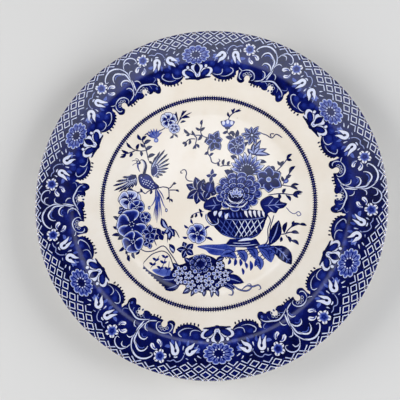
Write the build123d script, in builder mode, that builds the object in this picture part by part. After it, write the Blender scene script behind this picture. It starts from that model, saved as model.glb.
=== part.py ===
"""Round china dinner plate, in millimetres.

The plate is one piece of fired earthenware with three printed films on its face and a
thin coat of clear glaze over them. The glaze is wiped off the foot ring's bearing edge,
so it ends in two separate solids: one round the outside and one inside the foot ring.
Origin: centre of the foot ring, on the surface that the plate stands on. +Z is up, and
+Y is the top of the picture printed in the well.
"""

import os
from math import sqrt

from build123d import *

# Overall sizes
plate_diameter = 250.0
plate_height = 23.0
rim_width = 26.0  # from the edge in to the shoulder
slope_width = 29.0  # from the shoulder down to the well
rim_rise = 3.0  # how far the rim climbs from the shoulder to the edge

# Wall and foot
base_thickness = 3.8
wall_thickness = 4.2  # measured straight down, at the shoulder
lip_thickness = 3.4
foot_height = 2.2
foot_width = 4.0  # of the bearing edge
foot_overhang = 1.0  # how far the foot ring's outer wall stands outside the well's corner
foot_draft = 1.0  # each wall of the foot ring leans this much over its height

# Blends between the straight stretches of the section
well_blend = 28.0
shoulder_blend = 22.0
back_blend = 20.0
foot_root_blend = 2.0
foot_edge_blend = 0.8
recess_blend = 1.5
lip_blend_share = 0.48  # of the lip's thickness, so the edge is nearly a full round

# Glaze and printed films
glaze_thickness = 0.25
ink_thickness = 0.08
bare_foot_height = 0.9  # the glaze stops this far above the bearing edge
border_depth = 37.0  # printed border, from the edge inwards
border_edge_gap = 0.5  # bare edge outside the border
line_offset = 8.8  # printed line ring, outwards from the well's corner
line_width = 2.6
centre_reach = 4.5  # how far the picture runs past the well's corner, up the slope

# The body's section, as radius and height. The finished plate includes its glaze.
lip_blend = lip_thickness * lip_blend_share
rim_slope = rim_rise / rim_width
edge_loss = lip_blend * (rim_slope + sqrt(1 + rim_slope**2) - 1)  # height lost to the rounding
edge_radius = plate_diameter / 2 - glaze_thickness
edge_top = plate_height - glaze_thickness + edge_loss
shoulder_radius = edge_radius - rim_width
shoulder_top = edge_top - rim_rise
well_radius = shoulder_radius - slope_width
well_top = foot_height + base_thickness
slope = (shoulder_top - well_top) / slope_width
shoulder_back = shoulder_top - wall_thickness

foot_outer_top = well_radius + foot_overhang + foot_draft
foot_outer_bottom = foot_outer_top - foot_draft
foot_inner_bottom = foot_outer_bottom - foot_width
foot_inner_top = foot_inner_bottom - foot_draft
foot_root = shoulder_back - (shoulder_radius - foot_outer_top) * slope

front = [(0, well_top), (well_radius, well_top), (shoulder_radius, shoulder_top), (edge_radius, edge_top)]
outline = [
    (front[0], 0),
    (front[1], well_blend),
    (front[2], shoulder_blend),
    (front[3], lip_blend),
    ((edge_radius, edge_top - lip_thickness), lip_blend),
    ((shoulder_radius, shoulder_back), back_blend),
    ((foot_outer_top, foot_root), foot_root_blend),
    ((foot_outer_bottom, 0), foot_edge_blend),
    ((foot_inner_bottom, 0), foot_edge_blend),
    ((foot_inner_top, foot_height), recess_blend),
    ((0, foot_height), 0),
]


def front_height(radius):
    """Height of the face's straight stretches at a radius, before blending."""
    for (r0, z0), (r1, z1) in zip(front, front[1:]):
        if radius <= r1:
            return z0 + (z1 - z0) * (radius - r0) / (r1 - r0)
    return front[-1][1]


def face_band(inner, outer):
    """A closed strip that holds the face, and not the back, between two radii."""
    corners = [r for r, z in front if inner < r < outer]
    radii = [inner, *corners, outer]
    reach = lip_thickness / 2
    above = [(r, front_height(r) + reach) for r in radii]
    below = [(r, front_height(r) - reach) for r in reversed(radii)]
    return above + below


def add_film(inner, outer):
    """Adds the section of an even film of ink on the face, between two radii."""
    add(body_section.sketch_local)
    offset(amount=ink_thickness)
    add(body_section.sketch_local, mode=Mode.SUBTRACT)
    Polygon(*face_band(inner, outer), align=None, mode=Mode.INTERSECT)


# Fired clay: well, slope, rim and foot ring in one piece
with BuildPart() as plate_body:
    with BuildSketch(Plane.XZ) as body_section:
        with BuildLine():
            FilletPolyline(*[p for p, r in outline], radius=[r for p, r in outline], close=True)
        make_face()
    revolve(axis=Axis.Z)

# Printed films, laid on the clay
with BuildPart() as border_print:
    with BuildSketch(Plane.XZ) as border_section:
        add_film(edge_radius - border_depth, edge_radius - border_edge_gap)
    revolve(axis=Axis.Z)

with BuildPart() as line_print:
    with BuildSketch(Plane.XZ) as line_section:
        line_inner = well_radius + line_offset - line_width / 2
        add_film(line_inner, line_inner + line_width)
    revolve(axis=Axis.Z)

with BuildPart() as centre_print:
    with BuildSketch(Plane.XZ) as centre_section:
        add_film(0, well_radius + centre_reach)
    revolve(axis=Axis.Z)

# Clear glaze over clay and print, wiped off the foot's bearing edge
with BuildPart() as glaze:
    with BuildSketch(Plane.XZ):
        add(body_section.sketch_local)
        offset(amount=glaze_thickness)
        for covered in (body_section, border_section, line_section, centre_section):
            add(covered.sketch_local, mode=Mode.SUBTRACT)
        with Locations((-glaze_thickness, plate_height / 2)):
            Rectangle(2 * glaze_thickness, 2 * plate_height, mode=Mode.SUBTRACT)
        with Locations(((foot_outer_bottom + foot_inner_bottom) / 2, 0)):
            bare_width = foot_width + 4 * foot_draft
            Rectangle(bare_width, 2 * bare_foot_height, mode=Mode.SUBTRACT)
    revolve(axis=Axis.Z)

glaze_solids = glaze.part.solids().sort_by(SortBy.VOLUME)
pieces = {
    "plate_body": plate_body.part,
    "border_print": border_print.part,
    "line_print": line_print.part,
    "centre_print": centre_print.part,
    "glaze_coat": glaze_solids[-1],
    "foot_recess_glaze": glaze_solids[0],
}

os.makedirs("parts", exist_ok=True)
for name, piece in pieces.items():
    piece.label = name
    export_step(piece, f"parts/{name}.step")
    print(name, "volume", round(piece.volume, 1))
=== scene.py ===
import math

import bpy
import numpy as np
from mathutils import Matrix, Vector, geometry


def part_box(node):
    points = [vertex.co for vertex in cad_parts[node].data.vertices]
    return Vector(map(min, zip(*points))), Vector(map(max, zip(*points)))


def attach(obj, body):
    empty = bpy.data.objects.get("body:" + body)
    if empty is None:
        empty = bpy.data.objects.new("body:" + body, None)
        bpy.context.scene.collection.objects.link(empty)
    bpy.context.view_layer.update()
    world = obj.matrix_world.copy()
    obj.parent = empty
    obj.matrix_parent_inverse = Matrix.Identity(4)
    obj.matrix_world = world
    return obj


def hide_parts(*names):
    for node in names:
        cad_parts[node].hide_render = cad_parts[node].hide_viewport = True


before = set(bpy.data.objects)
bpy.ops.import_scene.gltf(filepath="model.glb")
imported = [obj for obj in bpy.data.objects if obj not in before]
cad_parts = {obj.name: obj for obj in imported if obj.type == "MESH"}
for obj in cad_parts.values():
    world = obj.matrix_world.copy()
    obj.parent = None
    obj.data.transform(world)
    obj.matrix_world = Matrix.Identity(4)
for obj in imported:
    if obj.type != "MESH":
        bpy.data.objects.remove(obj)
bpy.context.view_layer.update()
scene = bpy.context.scene
mm = 0.001


# Stage: camera, lights, pale floor

stageSettings = {
    "cameraPlace": (0.0195, -0.0474, 0.3377),
    "cameraTilt": (8.09, 4.38, 0.0),  # degrees
    "lens": 40.7,
    "floorColour": (0.66, 0.655, 0.64, 1),
    "floorRadius": 0.95,
    "floorSides": 128,
    "floorRoughness": 0.9,
    "floorSpecular": 0.2,
    "ceilingLight": 0.03,  # seen by gloss, straight above the plate
    "wallLight": 0.5,  # seen by gloss, near the horizon
    "wallRise": (0.35, 0.82),  # the walls fade into the ceiling between these heights
    "windowLight": 2.4,  # soft bright patch beyond the plate's top; the upper rim mirrors it
    "windowLow": 0.15,  # lean from straight up, as a tangent
    "windowHigh": 0.30,
    "windowSoft": 0.06,
    "windowSide": (0.16, 0.42),  # it fades out between these leans to either side
    "windowColour": (0.80, 0.86, 1.0, 1),
    "backdrop": (0.86, 0.86, 0.85, 1),
    "softboxes": {  # place, size, power, colour; low, outside what the face mirrors to the camera
        "leftSoftbox": ((-1.35, 0.2, 0.72), (0.9, 0.9), 20, (1, 0.985, 0.96)),
        "rightSoftbox": ((1.35, 0.1, 0.72), (0.8, 0.8), 19, (1, 1, 1)),
        "nearSoftbox": ((0.1, -1.5, 0.62), (1.2, 0.5), 11, (1, 1, 1)),
    },
}


def addSoftbox(name, place, size, power, colour):
    data = bpy.data.lights.new(name, "AREA")
    data.shape = "RECTANGLE"
    data.size, data.size_y = size
    data.energy = power
    data.color = colour
    light = bpy.data.objects.new(name, data)
    light.location = place
    light.rotation_euler = (-Vector(place)).to_track_quat("-Z", "Y").to_euler()  # aimed at the plate
    scene.collection.objects.link(light)


def link(tree, source, target):
    tree.links.new(source, target)


def buildWorld():
    world = bpy.data.worlds.new("studioWorld")
    world.use_nodes = True
    scene.world = world
    tree = world.node_tree
    tree.nodes.clear()
    add = tree.nodes.new

    room = stageSettings
    split = add("ShaderNodeSeparateXYZ")
    link(tree, add("ShaderNodeTexCoord").outputs["Generated"], split.inputs[0])
    up = mathNode(tree, "MAXIMUM", split.outputs["Z"], 0.01)
    walls = rampNode(tree, split.outputs["Z"], *room["wallRise"], room["wallLight"], room["ceilingLight"])
    near, far, soft = room["windowLow"], room["windowHigh"], room["windowSoft"]
    lean = mathNode(tree, "DIVIDE", split.outputs["Y"], up)
    side = mathNode(tree, "ABSOLUTE", mathNode(tree, "DIVIDE", split.outputs["X"], up))
    rise = rampNode(tree, lean, near, near + soft)
    fall = rampNode(tree, lean, far, far + 2 * soft, 1, 0)
    across = rampNode(tree, side, *room["windowSide"], room["windowLight"], 0)
    window = mathNode(tree, "MULTIPLY", mathNode(tree, "MULTIPLY", rise, fall), across)
    sky = add("ShaderNodeBackground")
    sky.inputs["Color"].default_value = room["windowColour"]
    link(tree, mathNode(tree, "ADD", walls, window), sky.inputs["Strength"])
    backdrop = add("ShaderNodeBackground")
    backdrop.inputs["Color"].default_value = room["backdrop"]
    rays = add("ShaderNodeLightPath")
    mix = add("ShaderNodeMixShader")
    link(tree, rays.outputs["Is Camera Ray"], mix.inputs["Fac"])
    link(tree, sky.outputs[0], mix.inputs[1])
    link(tree, backdrop.outputs[0], mix.inputs[2])
    out = add("ShaderNodeOutputWorld")
    link(tree, mix.outputs[0], out.inputs["Surface"])


def buildStage():
    scene.view_settings.view_transform = "Standard"
    camera = bpy.data.objects.new("camera", bpy.data.cameras.new("camera"))
    camera.data.lens = stageSettings["lens"]
    camera.data.sensor_width = 36
    camera.data.clip_start = 0.01
    camera.location = stageSettings["cameraPlace"]
    camera.rotation_euler = [math.radians(a) for a in stageSettings["cameraTilt"]]
    scene.collection.objects.link(camera)
    scene.camera = camera

    reach, sides = stageSettings["floorRadius"], stageSettings["floorSides"]
    mesh = bpy.data.meshes.new("floor")
    turns = [2 * math.pi * k / sides for k in range(sides)]
    mesh.from_pydata([(reach * math.cos(a), reach * math.sin(a), 0) for a in turns], [],
                     [tuple(range(sides))])
    floor = bpy.data.objects.new("floor", mesh)
    scene.collection.objects.link(floor)
    paint = bpy.data.materials.new("floorPaint")
    paint.use_nodes = True
    shader = paint.node_tree.nodes["Principled BSDF"]
    shader.inputs["Base Color"].default_value = stageSettings["floorColour"]
    shader.inputs["Roughness"].default_value = stageSettings["floorRoughness"]
    shader.inputs["Specular IOR Level"].default_value = stageSettings["floorSpecular"]
    mesh.materials.append(paint)

    buildWorld()
    for name, softbox in stageSettings["softboxes"].items():
        addSoftbox(name, *softbox)
    print("stage ready")


# Plate section, in mm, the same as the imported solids

sectionShape = {
    "rimWidth": 26.0,
    "slopeWidth": 29.0,
    "rimRise": 3.0,
    "wall": 4.2,
    "lip": 3.4,
    "footHeight": 2.2,
    "footWidth": 4.0,
    "footOverhang": 1.0,
    "footDraft": 1.0,
    "baseThickness": 3.8,
    "glaze": 0.25,
    "bareFoot": 0.9,
    "blends": {"well": 28, "shoulder": 22, "lip": 1.632, "back": 20, "root": 2, "foot": 0.8, "recess": 1.5},
    "segments": 288,
    "arcStep": 4.0,  # degrees
    "wideBlend": 10,  # larger blends get three times as many points
    "faceStep": 1.2,
    "sharpAngle": 50,  # degrees
}


def roundedLine(corners):
    # corners are (radius, height, blend); returns points with an arc of that radius at each blend
    points = []
    for i, (x, y, blend) in enumerate(corners):
        here = Vector((x, y))
        if i in (0, len(corners) - 1) or blend == 0:
            points.append(here)
            continue
        before = (Vector(corners[i - 1][:2]) - here).normalized()
        after = (Vector(corners[i + 1][:2]) - here).normalized()
        half = before.angle(after) / 2
        centre = here + (before + after).normalized() * (blend / math.sin(half))
        start = here + before * (blend / math.tan(half)) - centre
        sweep = start.angle_signed(here + after * (blend / math.tan(half)) - centre)
        steps = max(3, round(math.degrees(abs(sweep)) / sectionShape["arcStep"]))
        if blend > sectionShape["wideBlend"]:
            steps *= 3
        for s in range(steps + 1):
            turned = start.copy()
            turned.rotate(Matrix.Rotation(-sweep * s / steps, 2))
            points.append(centre + turned)
    return points


def bodySection():
    s = sectionShape
    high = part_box("glaze_coat")[1]
    edge = high.x / mm - s["glaze"]
    rimSlope = s["rimRise"] / s["rimWidth"]
    loss = s["blends"]["lip"] * (rimSlope + math.sqrt(1 + rimSlope**2) - 1)
    top = high.z / mm - s["glaze"] + loss
    shoulder, shoulderTop = edge - s["rimWidth"], top - s["rimRise"]
    well = shoulder - s["slopeWidth"]
    wellTop = s["footHeight"] + s["baseThickness"]
    slope = (shoulderTop - wellTop) / s["slopeWidth"]
    back = shoulderTop - s["wall"]
    footTop = well + s["footOverhang"] + s["footDraft"]
    footOut = footTop - s["footDraft"]
    footIn = footOut - s["footWidth"]
    b = s["blends"]
    face = [(0, wellTop, 0), (well, wellTop, b["well"]), (shoulder, shoulderTop, b["shoulder"])]
    rest = [
        (edge, top, b["lip"]),
        (edge, top - s["lip"], b["lip"]),
        (shoulder, back, b["back"]),
        (footTop, back - (shoulder - footTop) * slope, b["root"]),
        (footOut, 0, b["foot"]),
        (footIn, 0, b["foot"]),
        (footIn - s["footDraft"], s["footHeight"], b["recess"]),
        (0, s["footHeight"], 0),
    ]
    return roundedLine(face + rest)


def grown(line, amount):
    # the line moved outwards, which is to its left as it runs from the well to the foot
    moved = []
    for i, p in enumerate(line):
        ahead = line[min(i + 1, len(line) - 1)] - line[max(i - 1, 0)]
        side = Vector((-ahead.y, ahead.x)).normalized()
        if p.x == 0:
            side = Vector((0, math.copysign(1, side.y)))
        moved.append(p + side * amount)
    return moved


def densified(line, step):
    points = []
    for a, b in zip(line, line[1:]):
        parts = max(1, math.ceil((b - a).length / step))
        points += [a.lerp(b, k / parts) for k in range(parts)]
    return points + [line[-1]]


bodyLine = bodySection()
faceAndBack = densified(grown(bodyLine, sectionShape["glaze"]), sectionShape["faceStep"])
edgeIndex = max(range(len(faceAndBack)), key=lambda i: faceAndBack[i].x)
faceLine = faceAndBack[: edgeIndex + 1]
faceRadii = np.array([p.x for p in faceLine])
faceHeights = np.array([p.y for p in faceLine])
faceSlopes = np.gradient(faceHeights, np.maximum.accumulate(faceRadii) + np.arange(len(faceRadii)) * 1e-6)


def bareFootCut(line, inner):
    # the part of the line on one side of the bare bearing edge
    lowest = min(range(len(line)), key=lambda i: line[i].y)
    side = line[lowest + 1 :] if inner else line[:lowest]
    return [p for p in side if p.y > sectionShape["bareFoot"]]


def lathe(name, section, material):
    # turns a closed section round the axis; points on the axis are shared
    count = sectionShape["segments"]
    angles = [2 * math.pi * k / count for k in range(count)]
    verts, rings = [], []
    for p in section:
        if abs(p.x) < 1e-6:
            rings.append([len(verts)] * count)
            verts.append((0, 0, p.y * mm))
        else:
            rings.append(list(range(len(verts), len(verts) + count)))
            verts += [(p.x * mm * math.cos(a), p.x * mm * math.sin(a), p.y * mm) for a in angles]
    faces = []
    for a, b in zip(rings, rings[1:] + rings[:1]):
        for k in range(count):
            n = (k + 1) % count
            quad = list(dict.fromkeys([a[k], b[k], b[n], a[n]]))
            if len(quad) > 2:
                faces.append(quad)
    mesh = bpy.data.meshes.new(name)
    mesh.from_pydata(verts, [], faces)
    mesh.validate()
    mesh.materials.append(material)
    piece = bpy.data.objects.new(name, mesh)
    scene.collection.objects.link(piece)
    mesh.polygons.foreach_set("use_smooth", [True] * len(mesh.polygons))
    mesh.set_sharp_from_angle(angle=math.radians(sectionShape["sharpAngle"]))
    return piece


# Finishes

glazeLook = {
    "cream": (0.800, 0.728, 0.628, 1),
    "creamPale": (0.850, 0.795, 0.715, 1),
    "creamWarm": (0.760, 0.665, 0.535, 1),
    "speck": (0.30, 0.20, 0.12, 1),
    "cloudScale": 26,
    "blotchScale": 75,
    "blotchShare": 0.30,
    "fineScale": 300,
    "fineShare": 0.16,
    "speckScale": 115,
    "speckRadius": 0.045,  # share of a cell
    "speckShare": 0.45,
    "roughness": 0.10,
}
surfaceLook = {  # the fired glaze's relief, the same over clay and ink
    "waveScale": 42,
    "peelScale": 520,
    "wobbleScale": 18,
    "wobble": 0.004,  # how far the turning rings wander, in metres
    "ringPitch": 0.0042,
    "finePitch": 0.0017,
    "strength": 0.5,
    "depth": 0.00004,
    "amounts": {"Wave": 1.0, "Rings": 0.10, "Peel": 0.12},
}
inkLook = {
    "stops": [  # share of ink, colour
        (0.00, (0.800, 0.760, 0.740, 1)),
        (0.07, (0.620, 0.660, 0.840, 1)),
        (0.16, (0.330, 0.380, 0.660, 1)),
        (0.40, (0.075, 0.115, 0.430, 1)),
        (0.65, (0.013, 0.027, 0.235, 1)),
        (0.85, (0.0026, 0.0060, 0.106, 1)),
        (1.00, (0.0010, 0.0020, 0.036, 1)),
    ],
    "cloudScale": 120,
    "cloudShare": 0.55,
    "grainScale": 900,
    "grainShare": 0.30,
}
clayLook = {
    "bare": (0.66, 0.55, 0.42, 1),
    "worn": (0.34, 0.27, 0.20, 1),
    "roughness": 0.85,
    "grainScale": 700,
    "wearScale": 60,
    "bumpStrength": 0.6,
    "bumpDepth": 0.0002,
}


def newGroup(name, inputs, outputs):
    group = bpy.data.node_groups.new(name, "ShaderNodeTree")
    for label, kind, value in inputs:
        socket = group.interface.new_socket(name=label, in_out="INPUT", socket_type=kind)
        socket.default_value = value
    for label, kind in outputs:
        group.interface.new_socket(name=label, in_out="OUTPUT", socket_type=kind)
    return group, group.nodes.new("NodeGroupInput"), group.nodes.new("NodeGroupOutput")


def mathNode(tree, operation, a, b=None, clamp=False):
    node = tree.nodes.new("ShaderNodeMath")
    node.operation = operation
    node.use_clamp = clamp
    for socket, value in zip(node.inputs, (a, b)):
        if value is None:
            continue
        if isinstance(value, (int, float)):
            socket.default_value = value
        else:
            link(tree, value, socket)
    return node.outputs[0]


def mixColour(tree, factor, a, b):
    node = tree.nodes.new("ShaderNodeMix")
    node.data_type = "RGBA"
    for socket, value in ((node.inputs["Factor"], factor), (node.inputs["A"], a), (node.inputs["B"], b)):
        if isinstance(value, (int, float, tuple)):
            socket.default_value = value
        else:
            link(tree, value, socket)
    return node.outputs["Result"]


def noiseNode(tree, place, scale, detail=3.0, roughness=0.5):
    node = tree.nodes.new("ShaderNodeTexNoise")
    node.inputs["Scale"].default_value = scale
    node.inputs["Detail"].default_value = detail
    node.inputs["Roughness"].default_value = roughness
    link(tree, place, node.inputs["Vector"])
    return node.outputs["Fac"]


def rampNode(tree, value, low, high, start=0, end=1):
    node = tree.nodes.new("ShaderNodeMapRange")
    node.interpolation_type = "SMOOTHSTEP"
    for label, number in (("From Min", low), ("From Max", high), ("To Min", start), ("To Max", end)):
        node.inputs[label].default_value = number
    link(tree, value, node.inputs["Value"])
    return node.outputs["Result"]


def glazeSurfaceGroup():
    # height of the fired glaze: soft waves, turning rings and a fine orange peel
    group, into, out = newGroup(
        "glazeSurface",
        [("Wave", "NodeSocketFloat", 1.0), ("Rings", "NodeSocketFloat", 1.0),
         ("Peel", "NodeSocketFloat", 1.0)],
        [("Height", "NodeSocketFloat")],
    )
    coords = group.nodes.new("ShaderNodeTexCoord").outputs["Object"]
    split = group.nodes.new("ShaderNodeSeparateXYZ")
    link(group, coords, split.inputs[0])
    flat = group.nodes.new("ShaderNodeCombineXYZ")
    link(group, split.outputs["X"], flat.inputs["X"])
    link(group, split.outputs["Y"], flat.inputs["Y"])
    length = group.nodes.new("ShaderNodeVectorMath")
    length.operation = "LENGTH"
    link(group, flat.outputs[0], length.inputs[0])
    look = surfaceLook
    wave = noiseNode(group, coords, look["waveScale"], 2)
    peel = noiseNode(group, coords, look["peelScale"], 2)
    wobble = mathNode(group, "MULTIPLY", noiseNode(group, coords, look["wobbleScale"], 1), look["wobble"])
    radius = mathNode(group, "ADD", length.outputs["Value"], wobble)
    rings = mathNode(group, "SINE", mathNode(group, "MULTIPLY", radius, 2 * math.pi / look["ringPitch"]))
    finer = mathNode(group, "SINE", mathNode(group, "MULTIPLY", radius, 2 * math.pi / look["finePitch"]))
    both = mathNode(group, "ADD", mathNode(group, "MULTIPLY", rings, 0.6),
                    mathNode(group, "MULTIPLY", finer, 0.25))
    total = mathNode(group, "MULTIPLY", wave, into.outputs["Wave"])
    total = mathNode(group, "ADD", total, mathNode(group, "MULTIPLY", both, into.outputs["Rings"]))
    total = mathNode(group, "ADD", total, mathNode(group, "MULTIPLY", peel, into.outputs["Peel"]))
    link(group, total, out.inputs["Height"])
    return group


def glazeBump(tree, shader, surface):
    heights = tree.nodes.new("ShaderNodeGroup")
    heights.node_tree = surface
    for label, amount in surfaceLook["amounts"].items():
        heights.inputs[label].default_value = amount
    addBump(tree, shader, heights.outputs["Height"], surfaceLook["strength"], surfaceLook["depth"])


def addBump(tree, shader, height, strength, depth):
    bump = tree.nodes.new("ShaderNodeBump")
    bump.inputs["Strength"].default_value = strength
    bump.inputs["Distance"].default_value = depth
    link(tree, height, bump.inputs["Height"])
    link(tree, bump.outputs["Normal"], shader.inputs["Normal"])


def newMaterial(name):
    material = bpy.data.materials.new(name)
    material.use_nodes = True
    return material, material.node_tree, material.node_tree.nodes["Principled BSDF"]


def glazeMaterial(surface):
    material, tree, shader = newMaterial("creamGlaze")
    coords = tree.nodes.new("ShaderNodeTexCoord").outputs["Object"]
    look = glazeLook
    cloud = rampNode(tree, noiseNode(tree, coords, look["cloudScale"], 4), 0.35, 0.68)
    blotch = rampNode(tree, noiseNode(tree, coords, look["blotchScale"], 5, 0.6), 0.52, 0.75)
    fine = rampNode(tree, noiseNode(tree, coords, look["fineScale"], 3, 0.6), 0.40, 0.72)
    colour = mixColour(tree, cloud, look["cream"], look["creamPale"])
    colour = mixColour(tree, mathNode(tree, "MULTIPLY", blotch, look["blotchShare"]), colour,
                       look["creamWarm"])
    colour = mixColour(tree, mathNode(tree, "MULTIPLY", fine, look["fineShare"]), colour, look["creamPale"])
    specks = tree.nodes.new("ShaderNodeTexVoronoi")
    specks.inputs["Scale"].default_value = look["speckScale"]
    link(tree, coords, specks.inputs["Vector"])
    near = mathNode(tree, "LESS_THAN", specks.outputs["Distance"], look["speckRadius"])
    rare = mathNode(tree, "GREATER_THAN", noiseNode(tree, coords, 60, 0), 0.60)
    spot = mathNode(tree, "MULTIPLY", mathNode(tree, "MULTIPLY", near, rare), look["speckShare"])
    colour = mixColour(tree, spot, colour, look["speck"])
    link(tree, colour, shader.inputs["Base Color"])
    shader.inputs["Roughness"].default_value = glazeLook["roughness"]
    glazeBump(tree, shader, surface)
    return material


def inkMaterial(surface):
    material, tree, shader = newMaterial("cobaltUnderGlaze")
    coords = tree.nodes.new("ShaderNodeTexCoord").outputs["Object"]
    tone = tree.nodes.new("ShaderNodeAttribute")
    tone.attribute_name = "inkTone"
    cloud = noiseNode(tree, coords, inkLook["cloudScale"], 4, 0.6)
    grain = noiseNode(tree, coords, inkLook["grainScale"], 2, 0.5)
    sway = mathNode(tree, "MULTIPLY", mathNode(tree, "SUBTRACT", cloud, 0.5), inkLook["cloudShare"])
    grit = mathNode(tree, "MULTIPLY", mathNode(tree, "SUBTRACT", grain, 0.5), inkLook["grainShare"])
    room = mathNode(tree, "MULTIPLY", tone.outputs["Fac"],
                    mathNode(tree, "SUBTRACT", 1.25, tone.outputs["Fac"]))
    shift = mathNode(tree, "MULTIPLY", mathNode(tree, "ADD", sway, grit),
                     mathNode(tree, "MULTIPLY", room, 2.2))
    amount = mathNode(tree, "ADD", tone.outputs["Fac"], shift, clamp=True)
    ramp = tree.nodes.new("ShaderNodeValToRGB")
    stops = inkLook["stops"]
    for i, (place, colour) in enumerate(stops):
        stop = ramp.color_ramp.elements[i] if i < 2 else ramp.color_ramp.elements.new(place)
        stop.position = place
        stop.color = colour
    link(tree, amount, ramp.inputs["Fac"])
    link(tree, ramp.outputs["Color"], shader.inputs["Base Color"])
    shader.inputs["Roughness"].default_value = glazeLook["roughness"]
    glazeBump(tree, shader, surface)
    return material


def clayMaterial():
    material, tree, shader = newMaterial("bareClay")
    coords = tree.nodes.new("ShaderNodeTexCoord").outputs["Object"]
    grain = noiseNode(tree, coords, clayLook["grainScale"], 5, 0.7)
    wear = rampNode(tree, noiseNode(tree, coords, clayLook["wearScale"], 5, 0.65), 0.50, 0.66)
    colour = mixColour(tree, mathNode(tree, "MULTIPLY", wear, 0.7), clayLook["bare"], clayLook["worn"])
    colour = mixColour(tree, mathNode(tree, "MULTIPLY", grain, 0.3), colour, clayLook["worn"])
    link(tree, colour, shader.inputs["Base Color"])
    shader.inputs["Roughness"].default_value = clayLook["roughness"]
    addBump(tree, shader, grain, clayLook["bumpStrength"], clayLook["bumpDepth"])
    return material


buildStage()
glazeSurface = glazeSurfaceGroup()
creamGlaze = glazeMaterial(glazeSurface)
cobaltInk = inkMaterial(glazeSurface)
bareClay = clayMaterial()


def buildGlaze():
    section = bareFootCut(faceAndBack, inner=False) + bareFootCut(bodyLine, inner=False)[::-1]
    coat = lathe("glazed_face_and_back", section, creamGlaze)
    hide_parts("glaze_coat")
    section = bareFootCut(faceAndBack, inner=True) + bareFootCut(bodyLine, inner=True)[::-1]
    recess = lathe("glazed_foot_recess", section, creamGlaze)
    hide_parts("foot_recess_glaze")
    for piece in (coat, recess):
        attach(piece, "root")
    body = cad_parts["plate_body"]
    for slot in body.material_slots:
        slot.material = bareClay
    print("glaze ready", len(coat.data.polygons), "faces")


buildGlaze()


# Drawing tools for the print. Lengths are in mm, tones run from 0 (bare) to 1 (solid ink).

def smooth(points, closed=False, steps=4):
    p = np.array(points, float)
    if closed:
        p = np.vstack([p[-1:], p, p[:2]])
    else:
        p = np.vstack([2 * p[:1] - p[1:2], p, 2 * p[-1:] - p[-2:-1]])
    t = np.arange(steps)[:, None] / steps
    spans = []
    for a, b, c, d in zip(p, p[1:], p[2:], p[3:]):
        spans.append(b + 0.5 * t * (c - a + t * (2 * a - 5 * b + 4 * c - d + t * (3 * b - a - 3 * c + d))))
    if not closed:
        spans.append(p[-2:-1])
    return np.vstack(spans)


def even(s):
    return np.sqrt(np.clip(1 - np.abs(2 * s - 1) ** 12, 0.01, 1))


def leafy(s):
    return np.sin(np.pi * np.clip(s, 0.015, 0.985)) ** 0.8


def tapered(s):
    return np.sin(np.pi * np.clip(s, 0.03, 0.97)) ** 0.5


def heavyEnd(s):
    return np.clip(s, 0.02, 1) ** 0.7 * np.sqrt(np.clip(1 - s**7, 0.02, 1)) * 1.1


def heavyStart(s):
    return heavyEnd(1 - s)


def ribbon(points, width, profile=even):
    # outline of a line whose width follows the profile along it
    line = np.array(points, float)
    step = np.gradient(line, axis=0)
    side = np.stack([-step[:, 1], step[:, 0]], 1) / (np.hypot(*step.T)[:, None] + 1e-9)
    run = np.concatenate([[0], np.cumsum(np.hypot(*np.diff(line, axis=0).T))])
    half = profile(run / run[-1])[:, None] * width / 2
    return np.vstack([line + side * half, (line - side * half)[::-1]])


def ellipse(x, y, rx, ry=None, turn=0.0, count=14):
    a = np.arange(count) * 2 * np.pi / count
    return placed(np.stack([rx * np.cos(a), (ry or rx) * np.sin(a)], 1), x, y, turn)


def scallops(x, y, rx, ry, lobes, depth, turn=0.0, steps=5):
    # a round outline made of equal lobes
    a = np.arange(lobes * steps) * 2 * np.pi / (lobes * steps)
    reach = 1 - depth + depth * np.sqrt(np.abs(np.sin(lobes * a / 2)))
    return placed(np.stack([rx * reach * np.cos(a), ry * reach * np.sin(a)], 1), x, y, turn)


def placed(points, x, y, turn):
    a = math.radians(turn)
    p = np.array(points, float)
    across = p[:, 0] * math.cos(a) - p[:, 1] * math.sin(a) + x
    along = p[:, 0] * math.sin(a) + p[:, 1] * math.cos(a) + y
    return np.stack([across, along], 1)


def mirrored(points, side):
    return np.array(points, float) * (side, 1)


def shifted(points, shift):
    return np.array(points, float) + (shift, 0)


def partWay(x, y, tx, ty, share, lean=0.0):
    # the point at this share of the way to the tip, leant to one side
    return x + (tx - x) * share - lean * (ty - y), y + (ty - y) * share + lean * (tx - x)


def polar(x, y, reach, turn):
    return x + reach * math.cos(math.radians(turn)), y + reach * math.sin(math.radians(turn))


class Drawing:
    # shapes are painted in order, a later one over an earlier one
    def __init__(self):
        self.shapes = []

    def fill(self, outline, tone, core=None, depth=1.0):
        # the tone may be a function of place; core is the tone that is reached at this depth inside
        self.shapes.append((np.array(outline, float), tone, core, depth))

    def stroke(self, points, width, tone, profile=even, steps=4, core=None):
        self.fill(ribbon(smooth(points, steps=steps), width, profile), tone, core, width / 2)

    def dot(self, x, y, radius, tone, tall=None, turn=0.0, core=None):
        self.fill(ellipse(x, y, radius, tall, turn, 10 if radius < 1.5 else 16), tone, core, radius * 0.6)

    def cased(self, points, width, tone, profile=even, edge=0.45, steps=4):
        # a pale line with a dark line round it
        self.stroke(points, width + 2 * edge, 0.98, profile, steps)
        self.stroke(points, width * 0.86, tone, profile, steps)


def insideOf(points, outline):
    x, y = points[:, :1], points[:, 1:]
    ax, ay = outline.T
    bx, by = np.roll(outline, -1, 0).T
    left = (bx - ax) * (y - ay) - (x - ax) * (by - ay)
    turns = ((ay <= y) & (by > y) & (left > 0)).sum(1) - ((ay > y) & (by <= y) & (left < 0)).sum(1)
    return turns != 0


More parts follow.
